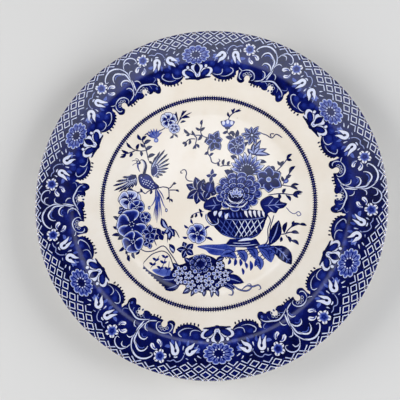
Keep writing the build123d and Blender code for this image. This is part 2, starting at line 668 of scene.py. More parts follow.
def depthInside(points, outline):
    a, b = outline, np.roll(outline, -1, 0)
    along = b - a
    away = points[:, None] - a
    share = np.clip((away * along).sum(2) / ((along**2).sum(1) + 1e-12), 0, 1)
    return np.sqrt(((away - share[:, :, None] * along) ** 2).sum(2)).min(1)


def hexGrid(low, high, step):
    rows = np.arange(low[1], high[1] + step, step * 0.866)
    columns = np.arange(low[0], high[0] + step, step)
    x, y = np.meshgrid(columns, rows)
    x[1::2] += step / 2
    return np.stack([x.ravel(), y.ravel()], 1)


def triangulate(drawing, low, high, gridStep, extra=None, densify=None):
    # cuts the drawing's area into triangles along every outline; returns corners and their tones
    spots, edges = [], []
    for outline, tone, core, depth in drawing.shapes:
        loop = outline if densify is None else densify(outline)
        loop = np.clip(loop, low, high)
        first = len(spots)
        spots += loop.tolist()
        edges += [(first + i, first + (i + 1) % len(loop)) for i in range(len(loop))]
        if core is not None:
            local = hexGrid(loop.min(0), loop.max(0), max(depth * 0.7, 0.45))
            spots += local[insideOf(local, loop)].tolist()
    spots += np.clip(hexGrid(low, high, gridStep), low, high).tolist()
    if extra is not None:
        spots += extra.tolist()
    result = geometry.delaunay_2d_cdt([Vector(p) for p in spots], edges, [], 0, 1e-4, False)
    points = np.array([tuple(v) for v in result[0]])
    triangles = np.array([face for face in result[2] if len(face) == 3])
    centres = points[triangles].mean(1)
    owner = np.full(len(triangles), -1)
    for i, (outline, *_) in enumerate(drawing.shapes):
        near = np.flatnonzero(((centres > outline.min(0)) & (centres < outline.max(0))).all(1))
        owner[near[insideOf(centres[near], outline)]] = i
    tones = np.zeros((len(triangles), 3))
    for i, (outline, tone, core, depth) in enumerate(drawing.shapes):
        mine = owner == i
        if not mine.any():
            continue
        corners = points[triangles[mine]].reshape(-1, 2)
        if callable(tone):
            value = tone(*corners.T)
        else:
            value = np.full(len(corners), float(tone))
        if core is not None:
            share = np.clip(depthInside(corners, outline) / depth, 0, 1)
            value = value + (core - value) * share * share * (3 - 2 * share)
        tones[mine] = value.reshape(-1, 3)
    inked = tones.max(1) > 0.02
    return points[triangles[inked]], tones[inked]


printLift = 0.06  # of the printed film's top over the glaze's own facets


def drape(name, corners, tones, replaced):
    # lays triangles, given by their corners in plan, on the glazed face
    flat = corners.reshape(-1, 2)
    merged, order = np.unique(np.round(flat, 4), axis=0, return_inverse=True)
    order = order.ravel()
    radius = np.hypot(*merged.T)
    height = np.interp(radius, faceRadii, faceHeights) + printLift
    faces = order.reshape(-1, 3)
    whole = (faces[:, 0] != faces[:, 1]) & (faces[:, 1] != faces[:, 2]) & (faces[:, 0] != faces[:, 2])
    faces, kept = faces[whole], tones[whole]
    a, b, c = (merged[faces[:, i]] for i in range(3))
    clockwise = (b[:, 0] - a[:, 0]) * (c[:, 1] - a[:, 1]) < (b[:, 1] - a[:, 1]) * (c[:, 0] - a[:, 0])
    faces[clockwise] = faces[clockwise][:, ::-1]
    kept[clockwise] = kept[clockwise][:, ::-1]
    mesh = bpy.data.meshes.new(name)
    mesh.from_pydata((np.column_stack([merged, height]) * mm).tolist(), [], faces.tolist())
    tone = mesh.attributes.new("inkTone", "FLOAT", "CORNER")
    tone.data.foreach_set("value", kept.ravel().astype(np.float32))
    uv = mesh.uv_layers.new(name="OFBake")
    span = 2 * faceRadii[-1]
    uv.data.foreach_set("uv", (merged[faces.ravel()] / span + 0.5).ravel().astype(np.float32))
    slope = np.interp(radius, faceRadii, faceSlopes)
    normals = np.column_stack([-merged * (slope / np.maximum(radius, 1e-6))[:, None], np.ones(len(merged))])
    normals /= np.linalg.norm(normals, axis=1)[:, None]
    mesh.polygons.foreach_set("use_smooth", [True] * len(faces))
    mesh.normals_split_custom_set_from_vertices(normals.tolist())
    mesh.materials.append(cobaltInk)
    piece = bpy.data.objects.new(name, mesh)
    scene.collection.objects.link(piece)
    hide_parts(replaced)
    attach(piece, "root")
    print(name, len(faces), "faces")


# Printed border. In one repeat, x runs clockwise in mm at the measuring radius and y is the radius.

borderSettings = {
    "repeats": 6,
    "firstFlower": 94.2,  # degrees
    "measure": 113.0,
    "outerReach": 124.9,
    "gridStep": 2.0,
    "white": 0.06,  # tones
    "dark": 0.97,
    "rows": {"a": 124.0, "b": 120.65, "c": 117.3, "d": 113.9},
    "pitch": 9.1,
    "diamond": (3.6, 2.4),
    "diamondLine": 0.26,  # share of the diamond that is its white outline
}
halfSector = math.pi * borderSettings["measure"] / borderSettings["repeats"]


def borderGround(x, r):
    outer = np.clip((r - 106) / 6, 0, 1)
    patch = np.sin(x * 0.31 + 1.3 * np.sin(r * 0.45)) * np.sin(r * 0.62 + 1.1 * np.sin(x * 0.27))
    inner = 1 - np.clip((r - 103) / 4, 0, 1)
    hem = np.clip((95 - r) / 4, 0, 1)
    return 0.89 + 0.08 * outer + inner * (0.09 * patch - 0.03) + 0.06 * hem


def diamond(x, y, share=1.0, upper=False):
    w, h = (v * share for v in borderSettings["diamond"])
    if upper:
        # only the upper two sides, as a bent bar
        t = 1 - borderSettings["diamondLine"] / share
        ends = [(x + w * 0.82, y - h * 0.18), (x, y + h * t), (x - w * 0.82, y - h * 0.18)]
        return [(x - w, y), (x, y + h), (x + w, y), *ends]
    return [(x + w, y), (x, y + h), (x - w, y), (x, y - h)]


def drawLattice(d):
    b = borderSettings
    pitch, rows = b["pitch"], b["rows"]
    whole = [((k + 0.5) * pitch, rows["a"]) for k in range(-7, 7)]
    whole += [(k * pitch, rows["b"]) for k in range(-4, 5)]
    whole += [((k + 0.5) * pitch, rows["c"]) for k in range(-3, 3)]
    for x, y in whole:
        d.fill(diamond(x, y), b["white"])
        d.fill(diamond(x, y, 1 - b["diamondLine"]), b["dark"], 0.88, 0.9)
    tops = [(s * k * pitch, rows["b"]) for k in (5, 6) for s in (-1, 1)]
    tops += [(s * 3.5 * pitch, rows["c"]) for s in (-1, 1)]
    tops += [(s * k * pitch, rows["d"]) for k in (1, 2) for s in (-1, 1)]
    for x, y in tops:
        d.fill(diamond(x, y, 1, upper=True), 0.10)
    for row, shift in (("a", 0.0), ("b", 0.5), ("c", 0.0)):
        for k in range(-7, 8):
            x = (k + shift) * pitch
            if abs(x) < {"a": 60, "b": 44, "c": 30}[row]:
                d.dot(x, rows[row], 0.42, 0.62, 0.34)


hemLobes = [  # x, radius, half width, half height of the ground's lobes
    (-58.5, 95.6, 6.2, 4.0), (-56.0, 93.0, 3.4, 2.3), (-46.2, 93.4, 3.6, 3.0), (-41.0, 94.0, 3.4, 4.2),
    (-39.5, 90.9, 2.7, 2.6), (-23.0, 96.4, 11.0, 6.1), (0.0, 97.0, 12.6, 5.6), (23.0, 96.4, 11.0, 6.1),
    (39.6, 94.2, 3.9, 3.9), (53.5, 95.4, 7.5, 3.9), (59.8, 95.6, 5.5, 3.3), (48.5, 94.2, 3.6, 2.5),
]
hemTeeth = [  # beads outside the hem
    (16.2, 89.7), (19.7, 89.2), (23.0, 89.2), (26.2, 89.7), (28.9, 90.5), (31.2, 91.5), (33.0, 93.0),
    (34.3, 94.8),
]


def drawHem(d):
    for grow, tone in ((0.75, borderSettings["dark"]), (0.0, borderGround)):
        for x, r, w, h in hemLobes:
            d.fill(ellipse(x, r, w + grow, h + grow, 0, 30), tone)
        if grow:
            d.fill([(-60, 94.8), (60, 94.8), (60, 125), (-60, 125)], tone)
    d.fill([(-60, 95.8), (60, 95.8), (60, 125), (-60, 125)], borderGround)
    for side in (-1, 1):
        for x, r in hemTeeth:
            d.dot(side * x, r - 0.1, 0.8, 0.98, 0.95)
    for x, r in ((50.3, 90.4), (53.2, 90.2), (56.1, 90.7), (58.6, 91.4), (-59.6, 92.0)):
        d.dot(x, r - 0.1, 0.8, 0.98, 0.9)
    # the two small openings in the hem, each with beads on its roof
    for x, r, w, h, beads in (
        (-50.5, 92.7, 2.7, 2.1, [(-52.9, 94.7), (-50.3, 95.1), (-48.1, 94.0), (-48.4, 91.8),
            (-51.2, 91.0)]),
        (45.0, 93.3, 2.5, 2.1, [(41.6, 95.2), (43.3, 96.4), (45.6, 96.7), (47.6, 95.8)]),
    ):
        d.fill(ellipse(x, r, w, h, 0, 20), 0)
        d.fill([(x - w * 0.8, r), (x + w * 0.8, r), (x + w * 0.7, 88), (x - w * 0.7, 88)], 0)
        for bx, br in beads:
            d.dot(bx, br, 1.0, 0.07)
            d.dot(bx, br, 0.75, 0.98)
    for side in (-1, 1):
        d.fill(mirrored([(34.2, 96.3), (35.8, 97.4), (36.2, 95), (36, 92), (36, 88), (33, 88), (35, 92)],
                        side), 0)


def drawBigFlower(d, x, r):
    white = borderSettings["white"]
    d.fill(scallops(x, r, 12.0, 8.0, 12, 0.13, 0), 0.98)
    d.fill(scallops(x, r, 11.2, 7.1, 12, 0.17, 0), white, 0.68, 1.4)
    for k in range(12):
        a = 30 * k
        start, end = polar(0, 0, 3.6, a), polar(0, 0, 9.6, a)
        d.stroke([(x + start[0], r + start[1] * 0.66), (x + end[0], r + end[1] * 0.64)], 1.0, 0.85,
                 heavyStart)
    for k in range(12):
        a = 30 * k + 15
        for lean, reach in ((-5, 8.2), (5, 8.2)):
            start, end = polar(0, 0, 4.4, a + lean), polar(0, 0, reach, a + lean)
            d.stroke([(x + start[0], r + start[1] * 0.66), (x + end[0], r + end[1] * 0.66)], 0.5, 0.3,
                     leafy)
    d.fill(scallops(x, r, 4.6, 3.1, 8, 0.12), 0.86)
    d.dot(x, r, 3.2, 0.95, 2.0)
    for k in range(10):
        px, py = polar(0, 0, 1.0, 36 * k + 10)
        d.dot(x + 3.9 * px, r + 2.7 * py, 0.62, 0.1, 0.5)


def drawBells(d, side):
    white = borderSettings["white"]

    def m(points):
        return mirrored(points, side)

    d.stroke(m([(13.2, 104.4), (15.5, 105.2), (17.5, 103.5)]), 3.0, 0.42, leafy)
    d.stroke(m([(22.8, 104.0), (22.8, 101.5), (22.4, 99.8)]), 2.0, 0.45, leafy)
    d.stroke(m([(13.3, 106.8), (15.5, 106.6), (18, 107.3)]), 1.2, 0.3, leafy)
    d.stroke(m([(16.2, 104.4), (15.3, 103.0), (14.8, 101.9)]), 0.6, 0.25)
    d.cased(m([(15.2, 104.6), (18.4, 106.9), (20.9, 108.1), (22.5, 106.7), (21.4, 104.6), (19.5, 103.2),
               (17.8, 100.9)]),
            3.7, white, leafy)
    d.dot(side * 20.7, 106.5, 1.0, 1.0, 1.3, -20 * side)
    d.stroke(m([(20.6, 106.2), (19.0, 105.2), (17.2, 104.2)]), 1.0, 0.93, heavyStart)
    d.stroke(m([(34.8, 106.2), (37.4, 106.0), (39.2, 106.9)]), 2.2, 0.42, leafy)
    d.stroke(m([(29.2, 104.6), (29.0, 102.5), (29.8, 100.6)]), 2.0, 0.5, leafy)
    d.stroke(m([(33.2, 104.0), (34.6, 102.4), (35.9, 101.4)]), 2.0, 0.45, leafy)
    d.cased(m([(32.4, 101.8), (30.8, 104.8), (29.7, 107.2), (30.2, 109.1), (32.0, 109.2), (33.1, 107.2),
               (34.5, 105.0), (36.5, 103.0)]),
            3.4, white, leafy)
    d.dot(side * 31.0, 107.7, 0.95, 1.0, 1.3, 25 * side)
    d.stroke(m([(31.3, 107.0), (32.3, 105.2), (33.0, 103.5)]), 1.0, 0.93, heavyStart)
    d.stroke(m([(28.8, 111.1), (29.9, 111.8), (31.3, 111.7)]), 0.85, 0.08)
    d.stroke(m([(24.4, 109.3), (25.2, 111.8), (26.6, 113.5), (28.8, 114.6), (31.0, 113.7), (33.0, 114.9),
                (35.4, 115.1)]),
             0.55, 0.2)
    for a, b, w in (((25.8, 106.6), (25.8, 103.6), 1.1), ((12.2, 110.3), (15.2, 108.9), 1.0),
                    ((15.2, 112.6), (17.1, 110.7), 1.0),
                    ((20.9, 111.9), (23.0, 111.4), 0.7), ((23.8, 109.4), (24.7, 107.8), 0.8),
                    ((33.6, 112.7), (34.6, 110.5), 1.0)):
        d.stroke(m([a, b]), w, 0.08 if w > 0.9 else 0.16, heavyEnd, 5)


def drawSmallFlower(d, x, r, size):
    d.fill(ellipse(x, r, size * 1.18, size * 1.18, 0, 24), 0.97)
    for k in range(10):
        lobe = polar(x, r, size * 0.76, 72 + 36 * k + (12 if k % 2 else -12))
        d.dot(*lobe, size * 0.31, 0.04)
    d.fill(scallops(x, r, size * 0.74, size * 0.74, 5, 0.14, 18, 6), 0.2, 0.7, size * 0.3)
    for k in range(5):
        a = 54 + 72 * k
        d.stroke([polar(x, r, size * 0.5, a), polar(x, r, size * 1.12, a)], size * 0.17, 0.97, heavyEnd, 3)
    d.dot(x, r, size * 0.32, 0.92, core=0.75)


def drawLeafPair(d, side):
    for a, b, c, w in (((43.6, 110.2), (46.6, 109.9), (49.2, 107.6), 3.3),
                       ((41.8, 107.9), (43.6, 105.4), (46.0, 104.2), 2.9)):
        line = mirrored([a, b, c], side)
        d.stroke(line, w + 1.0, 0.97, heavyEnd)
        d.stroke(line, w, 0.05, heavyEnd)
        d.stroke(0.85 * line + 0.15 * line[::-1], w * 0.36, 0.62, heavyStart)
    d.stroke(mirrored([(41.4, 107.4), (41.9, 105.2), (43.4, 103.9)], side), 0.45, 0.3)


def drawArches(d, side):
    for line, w in (
        ([(13.2, 94.0), (15.2, 93.1), (18.0, 92.8), (20.6, 93.3), (22.0, 94.6), (22.0, 96.9)], 1.0),
        ([(20.4, 92.2), (24.0, 92.1), (27.6, 92.9), (30.4, 94.6), (31.6, 96.2), (30.6, 97.6), (28.4, 98.2)],
         1.15),
    ):
        d.cased(mirrored(line, side), 0.85 * w, 0.12, heavyEnd)
    for x, r, w, tone in ((17.5, 96.5, 2.6, 0.66), (26.5, 96.6, 2.6, 0.64), (13.0, 100.4, 2.8, 0.62),
                          (25.5, 100.6, 2.6, 0.72),
                          (8.8, 101.4, 2.0, 0.7)):
        d.dot(side * x, r, w, 0.8, w * 0.75, 0, tone)


def drawPalmette(d):
    dark, white = borderSettings["dark"], borderSettings["white"]
    d.stroke([(-12, 91.4), (-8, 91.3), (-4, 90.8), (0, 90.5), (4, 90.8), (8, 91.3), (12, 91.4)], 1.5, dark)
    d.dot(0, 90.2, 2.2, dark, 0.9)
    for side in (-1, 1):
        d.fill(ellipse(side * 7.6, 94.4, 6.4, 3.6, side * 14, 20), dark)
        d.fill(ellipse(side * 8.2, 94.9, 5.4, 2.8, side * 10, 20), white)
        d.fill(ellipse(side * 6.9, 94.3, 4.6, 2.2, side * 22, 20), 0.97, 0.72, 1.6)
        d.fill(mirrored([(8.2, 91.8), (9.4, 93.0), (10.4, 93.9), (11.4, 93.2), (12.4, 91.8)], side), 0.05)
        d.dot(side * 7.8, 98.5, 1.6, dark)
        d.dot(side * 7.8, 98.5, 1.15, white)
        for petal, tone in (
            ([(0, 91.6), (2.9, 92.4), (3.2, 95.0), (5.6, 97.6), (5.0, 99.8), (2.6, 100.2), (0, 100.6)],
             dark),
            ([(0, 92.0), (2.3, 92.6), (2.8, 95.2), (5.0, 97.7), (4.5, 99.4), (2.6, 99.7), (0, 100.2)],
             white),
        ):
            d.fill(mirrored(smooth(petal, True, 3), side), tone)
        d.stroke(mirrored([(0.8, 95.0), (1.0, 93.4), (0.4, 92.2)], side), 0.5, 0.35)
    d.stroke([(0, 100.8), (0, 97), (0, 93.6)], 5.2, 0.98, leafy, core=0.82)


def drawScrolls(d, shift):
    # tall spray of curls, which crosses the joint between two repeats
    for line, w in (
        ([(61.4, 96.6), (62.2, 100.0), (62.6, 104.0), (62.2, 108.0)], 1.7),
        ([(63.4, 108.0), (62.3, 112.6), (60.0, 116.4), (56.6, 118.8), (53.0, 119.5), (49.4, 118.4),
          (46.8, 116.4), (45.7, 114.6),
          (46.6, 113.6), (47.6, 113.9)], 1.35),
        ([(62.6, 105.4), (60.9, 110.0), (58.2, 113.4), (55.2, 115.2), (52.4, 114.2), (51.0, 112.0),
          (50.8, 110.3)], 1.25),
        ([(62.0, 102.4), (60.0, 106.2), (57.2, 107.6), (54.6, 107.0), (53.4, 104.9)], 1.15),
        ([(53.0, 93.4), (56.0, 94.6), (58.6, 96.4), (58.9, 98.8), (57.6, 100.8), (55.2, 101.4)], 1.05),
        ([(62.0, 104.0), (63.4, 109.0), (62.6, 112.4), (60.4, 116.2), (58.2, 118.4)], 0.9),
    ):
        d.cased(shifted(line, shift), 0.92 * w, 0.07, tapered)
    for line, tone in (
        ([(58.6, 104.4), (57.0, 105.9), (55.2, 105.8), (54.4, 104.6)], 0.5),
        ([(58.4, 111.8), (56.2, 113.3), (53.8, 113.0), (52.6, 111.6)], 0.45),
        ([(57.6, 97.2), (57.4, 99.0), (56.4, 100.1)], 0.5),
    ):
        d.stroke(shifted(line, shift), 0.6, tone)


def drawLeftScrolls(d, shift):
    for line, w in (
        ([(-59.5, 96.6), (-57.8, 99.0), (-56.6, 102.6), (-55.9, 106.6), (-55.2, 109.4), (-55.9, 112.4),
          (-57.6, 115.6),
          (-60.2, 118.6)], 1.2),
        ([(-56.6, 103.0), (-56.7, 107.0), (-57.2, 110.6), (-59.6, 113.4)], 1.5),
        ([(-56.3, 113.8), (-54.8, 117.2), (-52.2, 119.8), (-49.2, 120.1), (-46.6, 118.6), (-45.2, 116.2),
          (-45.7, 114.3),
          (-47.4, 114.4)], 1.15),
        ([(-54.9, 116.9), (-53.0, 117.8), (-51.0, 117.3), (-50.3, 115.2)], 0.95),
        ([(-55.2, 108.2), (-53.8, 110.2), (-52.2, 110.7), (-50.8, 110.2)], 0.95),
        ([(-53.9, 102.7), (-52.0, 102.2), (-50.8, 100.8), (-50.5, 99.0)], 0.9),
        ([(-60.4, 94.2), (-57.0, 95.8), (-52.6, 97.3), (-49.2, 97.4), (-45.4, 96.2), (-41.8, 95.2),
          (-39.2, 93.8), (-37.9, 92.0)],
         1.35),
        ([(-57.4, 95.2), (-55.2, 94.6), (-53.8, 93.2)], 0.7),
        ([(-41.0, 95.6), (-38.4, 96.4), (-37.2, 97.7), (-38.2, 98.9)], 0.7),
        ([(-44.8, 95.4), (-44.0, 93.8), (-43.9, 92.4)], 0.7),
    ):
        d.cased(shifted(line, shift), 0.8 * w, 0.09 if w > 0.8 else 0.3, tapered)
    d.dot(shift - 39.7, 91.2, 1.0, 0.45)


def drawRightCurl(d):
    for line, w in (
        ([(35.9, 99.3), (37.4, 98.2), (39.4, 97.5)], 0.8),
        ([(39.2, 97.4), (42.6, 98.7), (46.2, 98.9), (49.4, 97.6), (51.0, 95.4), (50.6, 93.6), (48.8, 92.9)],
         1.1),
        ([(39.2, 97.2), (37.9, 95.4), (37.7, 93.4), (38.9, 92.1), (40.7, 91.9)], 1.1),
        ([(51.9, 93.2), (55.0, 94.1), (58.6, 95.4)], 1.0),
    ):
        d.cased(line, 0.82 * w, 0.1, tapered)


def drawBorder():
    d = Drawing()
    drawHem(d)
    drawLattice(d)
    drawBigFlower(d, 0, 107.2)
    for side in (-1, 1):
        drawArches(d, side)
        drawBells(d, side)
        drawSmallFlower(d, side * 40.6, 113.6, 4.3)
        drawLeafPair(d, side)
    drawPalmette(d)
    for shift in (0, -2 * halfSector):
        drawScrolls(d, shift)
    for shift in (0, 2 * halfSector):
        drawLeftScrolls(d, shift)
    drawRightCurl(d)
    return d


def fineEdge(outline):
    # shorter steps where the face rolls over to its edge, and no side longer than 3 mm
    spots = []
    for a, b in zip(outline, np.roll(outline, -1, 0)):
        long = 0.5 if max(a[1], b[1]) > 122.4 else 3.0
        parts = max(1, math.ceil(np.hypot(*(b - a)) / long))
        spots += [a + (b - a) * k / parts for k in range(parts)]
    return np.array(spots)


def repeatRound(corners, tones, repeats, first, measure):
    rings = []
    for k in range(repeats):
        a = math.radians(first + 360 / repeats * k) - corners[:, :, 0] / measure
        rings.append(np.stack([corners[:, :, 1] * np.cos(a), corners[:, :, 1] * np.sin(a)], 2))
    return np.concatenate(rings), np.tile(tones, (repeats, 1))


def buildBorder():
    b = borderSettings
    reach = b["outerReach"]
    low, high = np.array([-halfSector, 86.0]), np.array([halfSector, reach])
    rings = [np.stack([np.linspace(low[0], high[0], 99), np.full(99, reach - drop)], 1) for drop in (0.2,
        0.45, 0.75, 1.1)]
    corners, tones = triangulate(drawBorder(), low, high, b["gridStep"], np.vstack(rings), fineEdge)
    corners, tones = repeatRound(corners, tones, b["repeats"], b["firstFlower"], b["measure"])
    drape("printed_border", corners, tones, "border_print")


buildBorder()


# Line ring: two thin lines with barbs on both sides, drawn for one repeat

ringSettings = {"repeats": 24, "barbs": 12, "radius": 78.1, "offset": (-0.5, -1.0), "gap": 1.15,
                "line": 0.85, "barb": 0.9, "reach": 1.9}


def buildRing():
    r = ringSettings
    span = math.pi * r["radius"] / r["repeats"]
    pitch = 2 * span / r["barbs"]
    d = Drawing()
    for k in range(r["barbs"]):
        x = -span + (k + 0.5) * pitch
        d.stroke([(x - 0.4 * pitch, r["radius"] - 0.5), (x + 0.4 * pitch, r["radius"] + 0.5)], 1.0, 0.9)
        for side in (-1, 1):
            root, tip = r["radius"] + side * 0.6, r["radius"] + side * r["reach"]
            d.stroke([(x - 0.2 * pitch, root), (x + 0.1 * pitch, tip)], r["barb"], 0.92, heavyStart, 3)
    for side in (-1, 1):
        line = r["radius"] + side * r["gap"] / 2
        half = r["line"] / 2
        d.fill([(-span, line - half), (span, line - half), (span, line + half), (-span, line + half)], 0.95)
    low, high = np.array([-span, 75.9]), np.array([span, 80.3])
    corners, tones = triangulate(d, low, high, 1.6)
    corners, tones = repeatRound(corners, tones, r["repeats"], 90, r["radius"])
    corners += r["offset"]
    drape("printed_line_ring", corners, tones, "line_print")


buildRing()


# Centre picture. x and y in mm from the middle of the well.

pictureSettings = {"reach": 74.0, "gridStep": 3.0}


def blade(d, x0, y0, x1, y1, width, tone=0.95, bend=0.12, core=None, profile=leafy):
    mid = ((x0 + x1) / 2 - bend * (y1 - y0), (y0 + y1) / 2 + bend * (x1 - x0))
    d.stroke([(x0, y0), mid, (x1, y1)], width * 1.15 + 0.15, tone, profile, 4, core)


def blades(d, rows, tone=0.95):
    for row in rows:
        blade(d, *row, tone=tone)


def stems(d, lines, width=0.78, tone=0.9):
    for line in lines:
        d.stroke(line, width, tone, even, 4)


def petals(d, x, y, reach, count, turn=0.0, squash=1.0, body=0.03, shade=0.5, line=0.92, fat=1.0,
           heart=0.28, heartTone=0.95):
    # pale-edged petals, each with a dark line round it and ink that runs out from the dark heart
    wide = reach * 0.54 * min(1.0, 5.4 / count) * fat
    edge = 0.3 + 0.02 * reach
    for k in range(count):
        a = turn + 360 * k / count
        size = 1 + 0.08 * math.sin(2.3 * k + x)
        cx, cy = polar(0, 0, reach * 0.6 * size, a)
        spot = (x + cx, y + cy * squash)
        d.fill(placed(lobe(reach * 0.43 + edge / 2, wide + edge / 2), *spot, a), line)
        d.fill(placed(lobe(reach * 0.43 - edge / 2, max(wide - edge / 2, 0.3)), *spot, a), body, shade,
               0.4 + wide * 0.26)
        for lean, share in ((0, 0.84), (-0.26, 0.76), (0.26, 0.76)) if reach > 5 else ((0, 0.78),):
            tip = polar(0, 0, reach * share * size, a + 57.3 * lean * 5 / count)
            d.stroke([(x, y), (x + tip[0], y + tip[1] * squash)], wide * (0.42 if reach > 5 else 0.8), 0.86,
                     leafy, 3)
    d.dot(x, y, reach * heart, heartTone, reach * heart * squash)
    if reach > 4:
        for k in range(6):
            d.dot(*polar(x, y, reach * heart * 0.62, 60 * k + 15), 0.42, 0.12)


def lobe(long, wide):
    # petal outline along x: narrow at the root, broad and slightly notched at the tip
    a = np.arange(18) * 2 * np.pi / 18
    reach = 1 - 0.10 * np.exp(-((np.arctan2(np.sin(a), np.cos(a)) / 0.3) ** 2))
    return np.stack([long * reach * np.cos(a), wide * (1 + 0.22 * np.cos(a)) * np.sin(a)], 1)


def pointedPetals(d, x, y, tips, width, shade):
    for tip in tips:
        blade(d, x, y, *tip, width, 0.95, 0.03)
    for tip in tips:
        end = partWay(x, y, *tip, 0.93)
        line = smooth([(x, y), partWay(x, y, *end, 0.5), end])
        d.fill(ribbon(line, (width - 0.9) * 1.15, leafy), 0.05, shade, 0.35 + 0.09 * width)
    broad = width > 4
    for tip in tips:
        for lean in (-0.11, 0, 0.11) if broad else (0,):
            blade(d, x, y, *partWay(x, y, *tip, 0.76, lean), width * (0.16 if broad else 0.3), 0.95, 0)


def starLeaf(d, x, y, tips, width, tone=0.93, veins=True):
    for tip in tips:
        root = partWay(x, y, *tip, -0.1)
        blade(d, *root, *tip, width + 0.5, 0.03, 0)
        blade(d, *root, *tip, width, tone, 0)
        if veins:
            blade(d, x, y, *partWay(x, y, *tip, 0.85), 0.45, 0.3, 0)
    d.dot(x, y, width * 0.3, tone)


def drawBird(d):
    stems(d, [[(-53, 30), (-55, 31), (-58, 30.2)], [(-52.4, 30.6), (-53.6, 32), (-55.4, 32)],
              [(-54, 28.6), (-56, 28), (-57.4, 26.8)]], 0.5)
    # wings: long feathers fanned from the shoulder, with short ones over their roots
    for x, y, tips in (
        (-42.6, 19.6, ((-41.2, 29.4), (-39.4, 33.2), (-36.6, 36.6), (-33.0, 38.0), (-31.0, 34.8),
                       (-29.8, 31.2), (-29.4, 27.6), (-30.2, 24.2),
                       (-31.8, 21.4), (-34.2, 19.0), (-37.0, 17.2))),
        (-54.6, 19.6, ((-64.2, 18.0), (-68.6, 14.8), (-70.8, 11.4), (-70.0, 8.0), (-66.8, 7.2),
                       (-63.2, 8.2), (-60.0, 9.0), (-57.2, 10.0), (-54.6, 11.2))),
    ):
        for tip in tips:
            blade(d, x, y, *partWay(x, y, *tip, 1.04), 1.6, 0.96, 0.06, None, heavyEnd)
        for tip in tips:
            blade(d, x, y, *partWay(x, y, *tip, 0.86), 0.3, 0.12, 0.06)
        for tip in tips:
            blade(d, x, y, *partWay(x, y, *tip, 0.46), 1.9, 0.95, 0, 0.7, heavyEnd)
            d.dot(*partWay(x, y, *tip, 0.38), 0.5, 0.08)
    d.fill(smooth([(-52.6, 19), (-51.4, 12.4), (-46.6, 8.6), (-40.4, 8.2), (-36.6, 10.2), (-40.6, 14.4),
                   (-43.4, 18.6), (-47.8, 20.6)], True), 0.95, 0.78, 1.6)
    for k in range(17):
        d.dot(-50.2 + 1.75 * (k % 6) + 0.8 * (k // 6),
              17.4 - 0.95 * (k % 6) - 2.3 * (k // 6) + 0.4 * math.sin(5 * k), 0.5, 0.08, 0.36, -30)
    d.stroke([(-52.2, 30.2), (-50, 31.2), (-47.8, 29.4), (-46.9, 26), (-47.8, 22.4), (-49.2, 17.4)], 2.7,
             0.95, heavyEnd)
    d.stroke([(-51.4, 30.4), (-49.6, 30.1), (-48.4, 27.6), (-48.9, 22.6)], 0.55, 0.12, leafy)
    d.dot(-52.7, 29.1, 1.9, 0.93, 1.5, -30)
    d.dot(-53.0, 29.4, 0.55, 0.03)
    blade(d, -53.4, 28.4, -51.2, 21.4, 1.2, 0.7, -0.08, profile=heavyStart)
    for line, w, tone in (
        ([(-39, 9.4), (-37.4, 4), (-37.8, -6), (-38, -17)], 1.3, 0.62),
        ([(-38.6, 9), (-35.6, 3), (-33.4, -3), (-31, -7.4)], 0.7, 0.6),
        ([(-39.6, 9), (-39.4, 2), (-41.4, -3), (-44, -5.4)], 0.7, 0.66),
        ([(-39, 9), (-36.4, 0), (-35.2, -6), (-34.6, -12)], 0.7, 0.6),
        ([(-39.4, 9), (-39, -2), (-40, -8), (-40.4, -12.6)], 0.7, 0.62),
        ([(-38.4, 9), (-36.2, 2), (-36.4, -6), (-36.6, -14.4)], 0.6, 0.55),
        ([(-39.2, 9), (-38.2, 0), (-39, -8), (-39.2, -15)], 0.6, 0.6),
        ([(-38, 9.4), (-34.4, 4.4), (-32.6, 0)], 0.6, 0.7),
    ):
        d.stroke(line, w + 0.15, tone, leafy)
    for x, y in ((-44, -5.6), (-31, -7.6)):
        d.dot(x, y, 1.0, 0.85, 1.5)
        d.dot(x, y, 0.5, 0.1, 0.8)


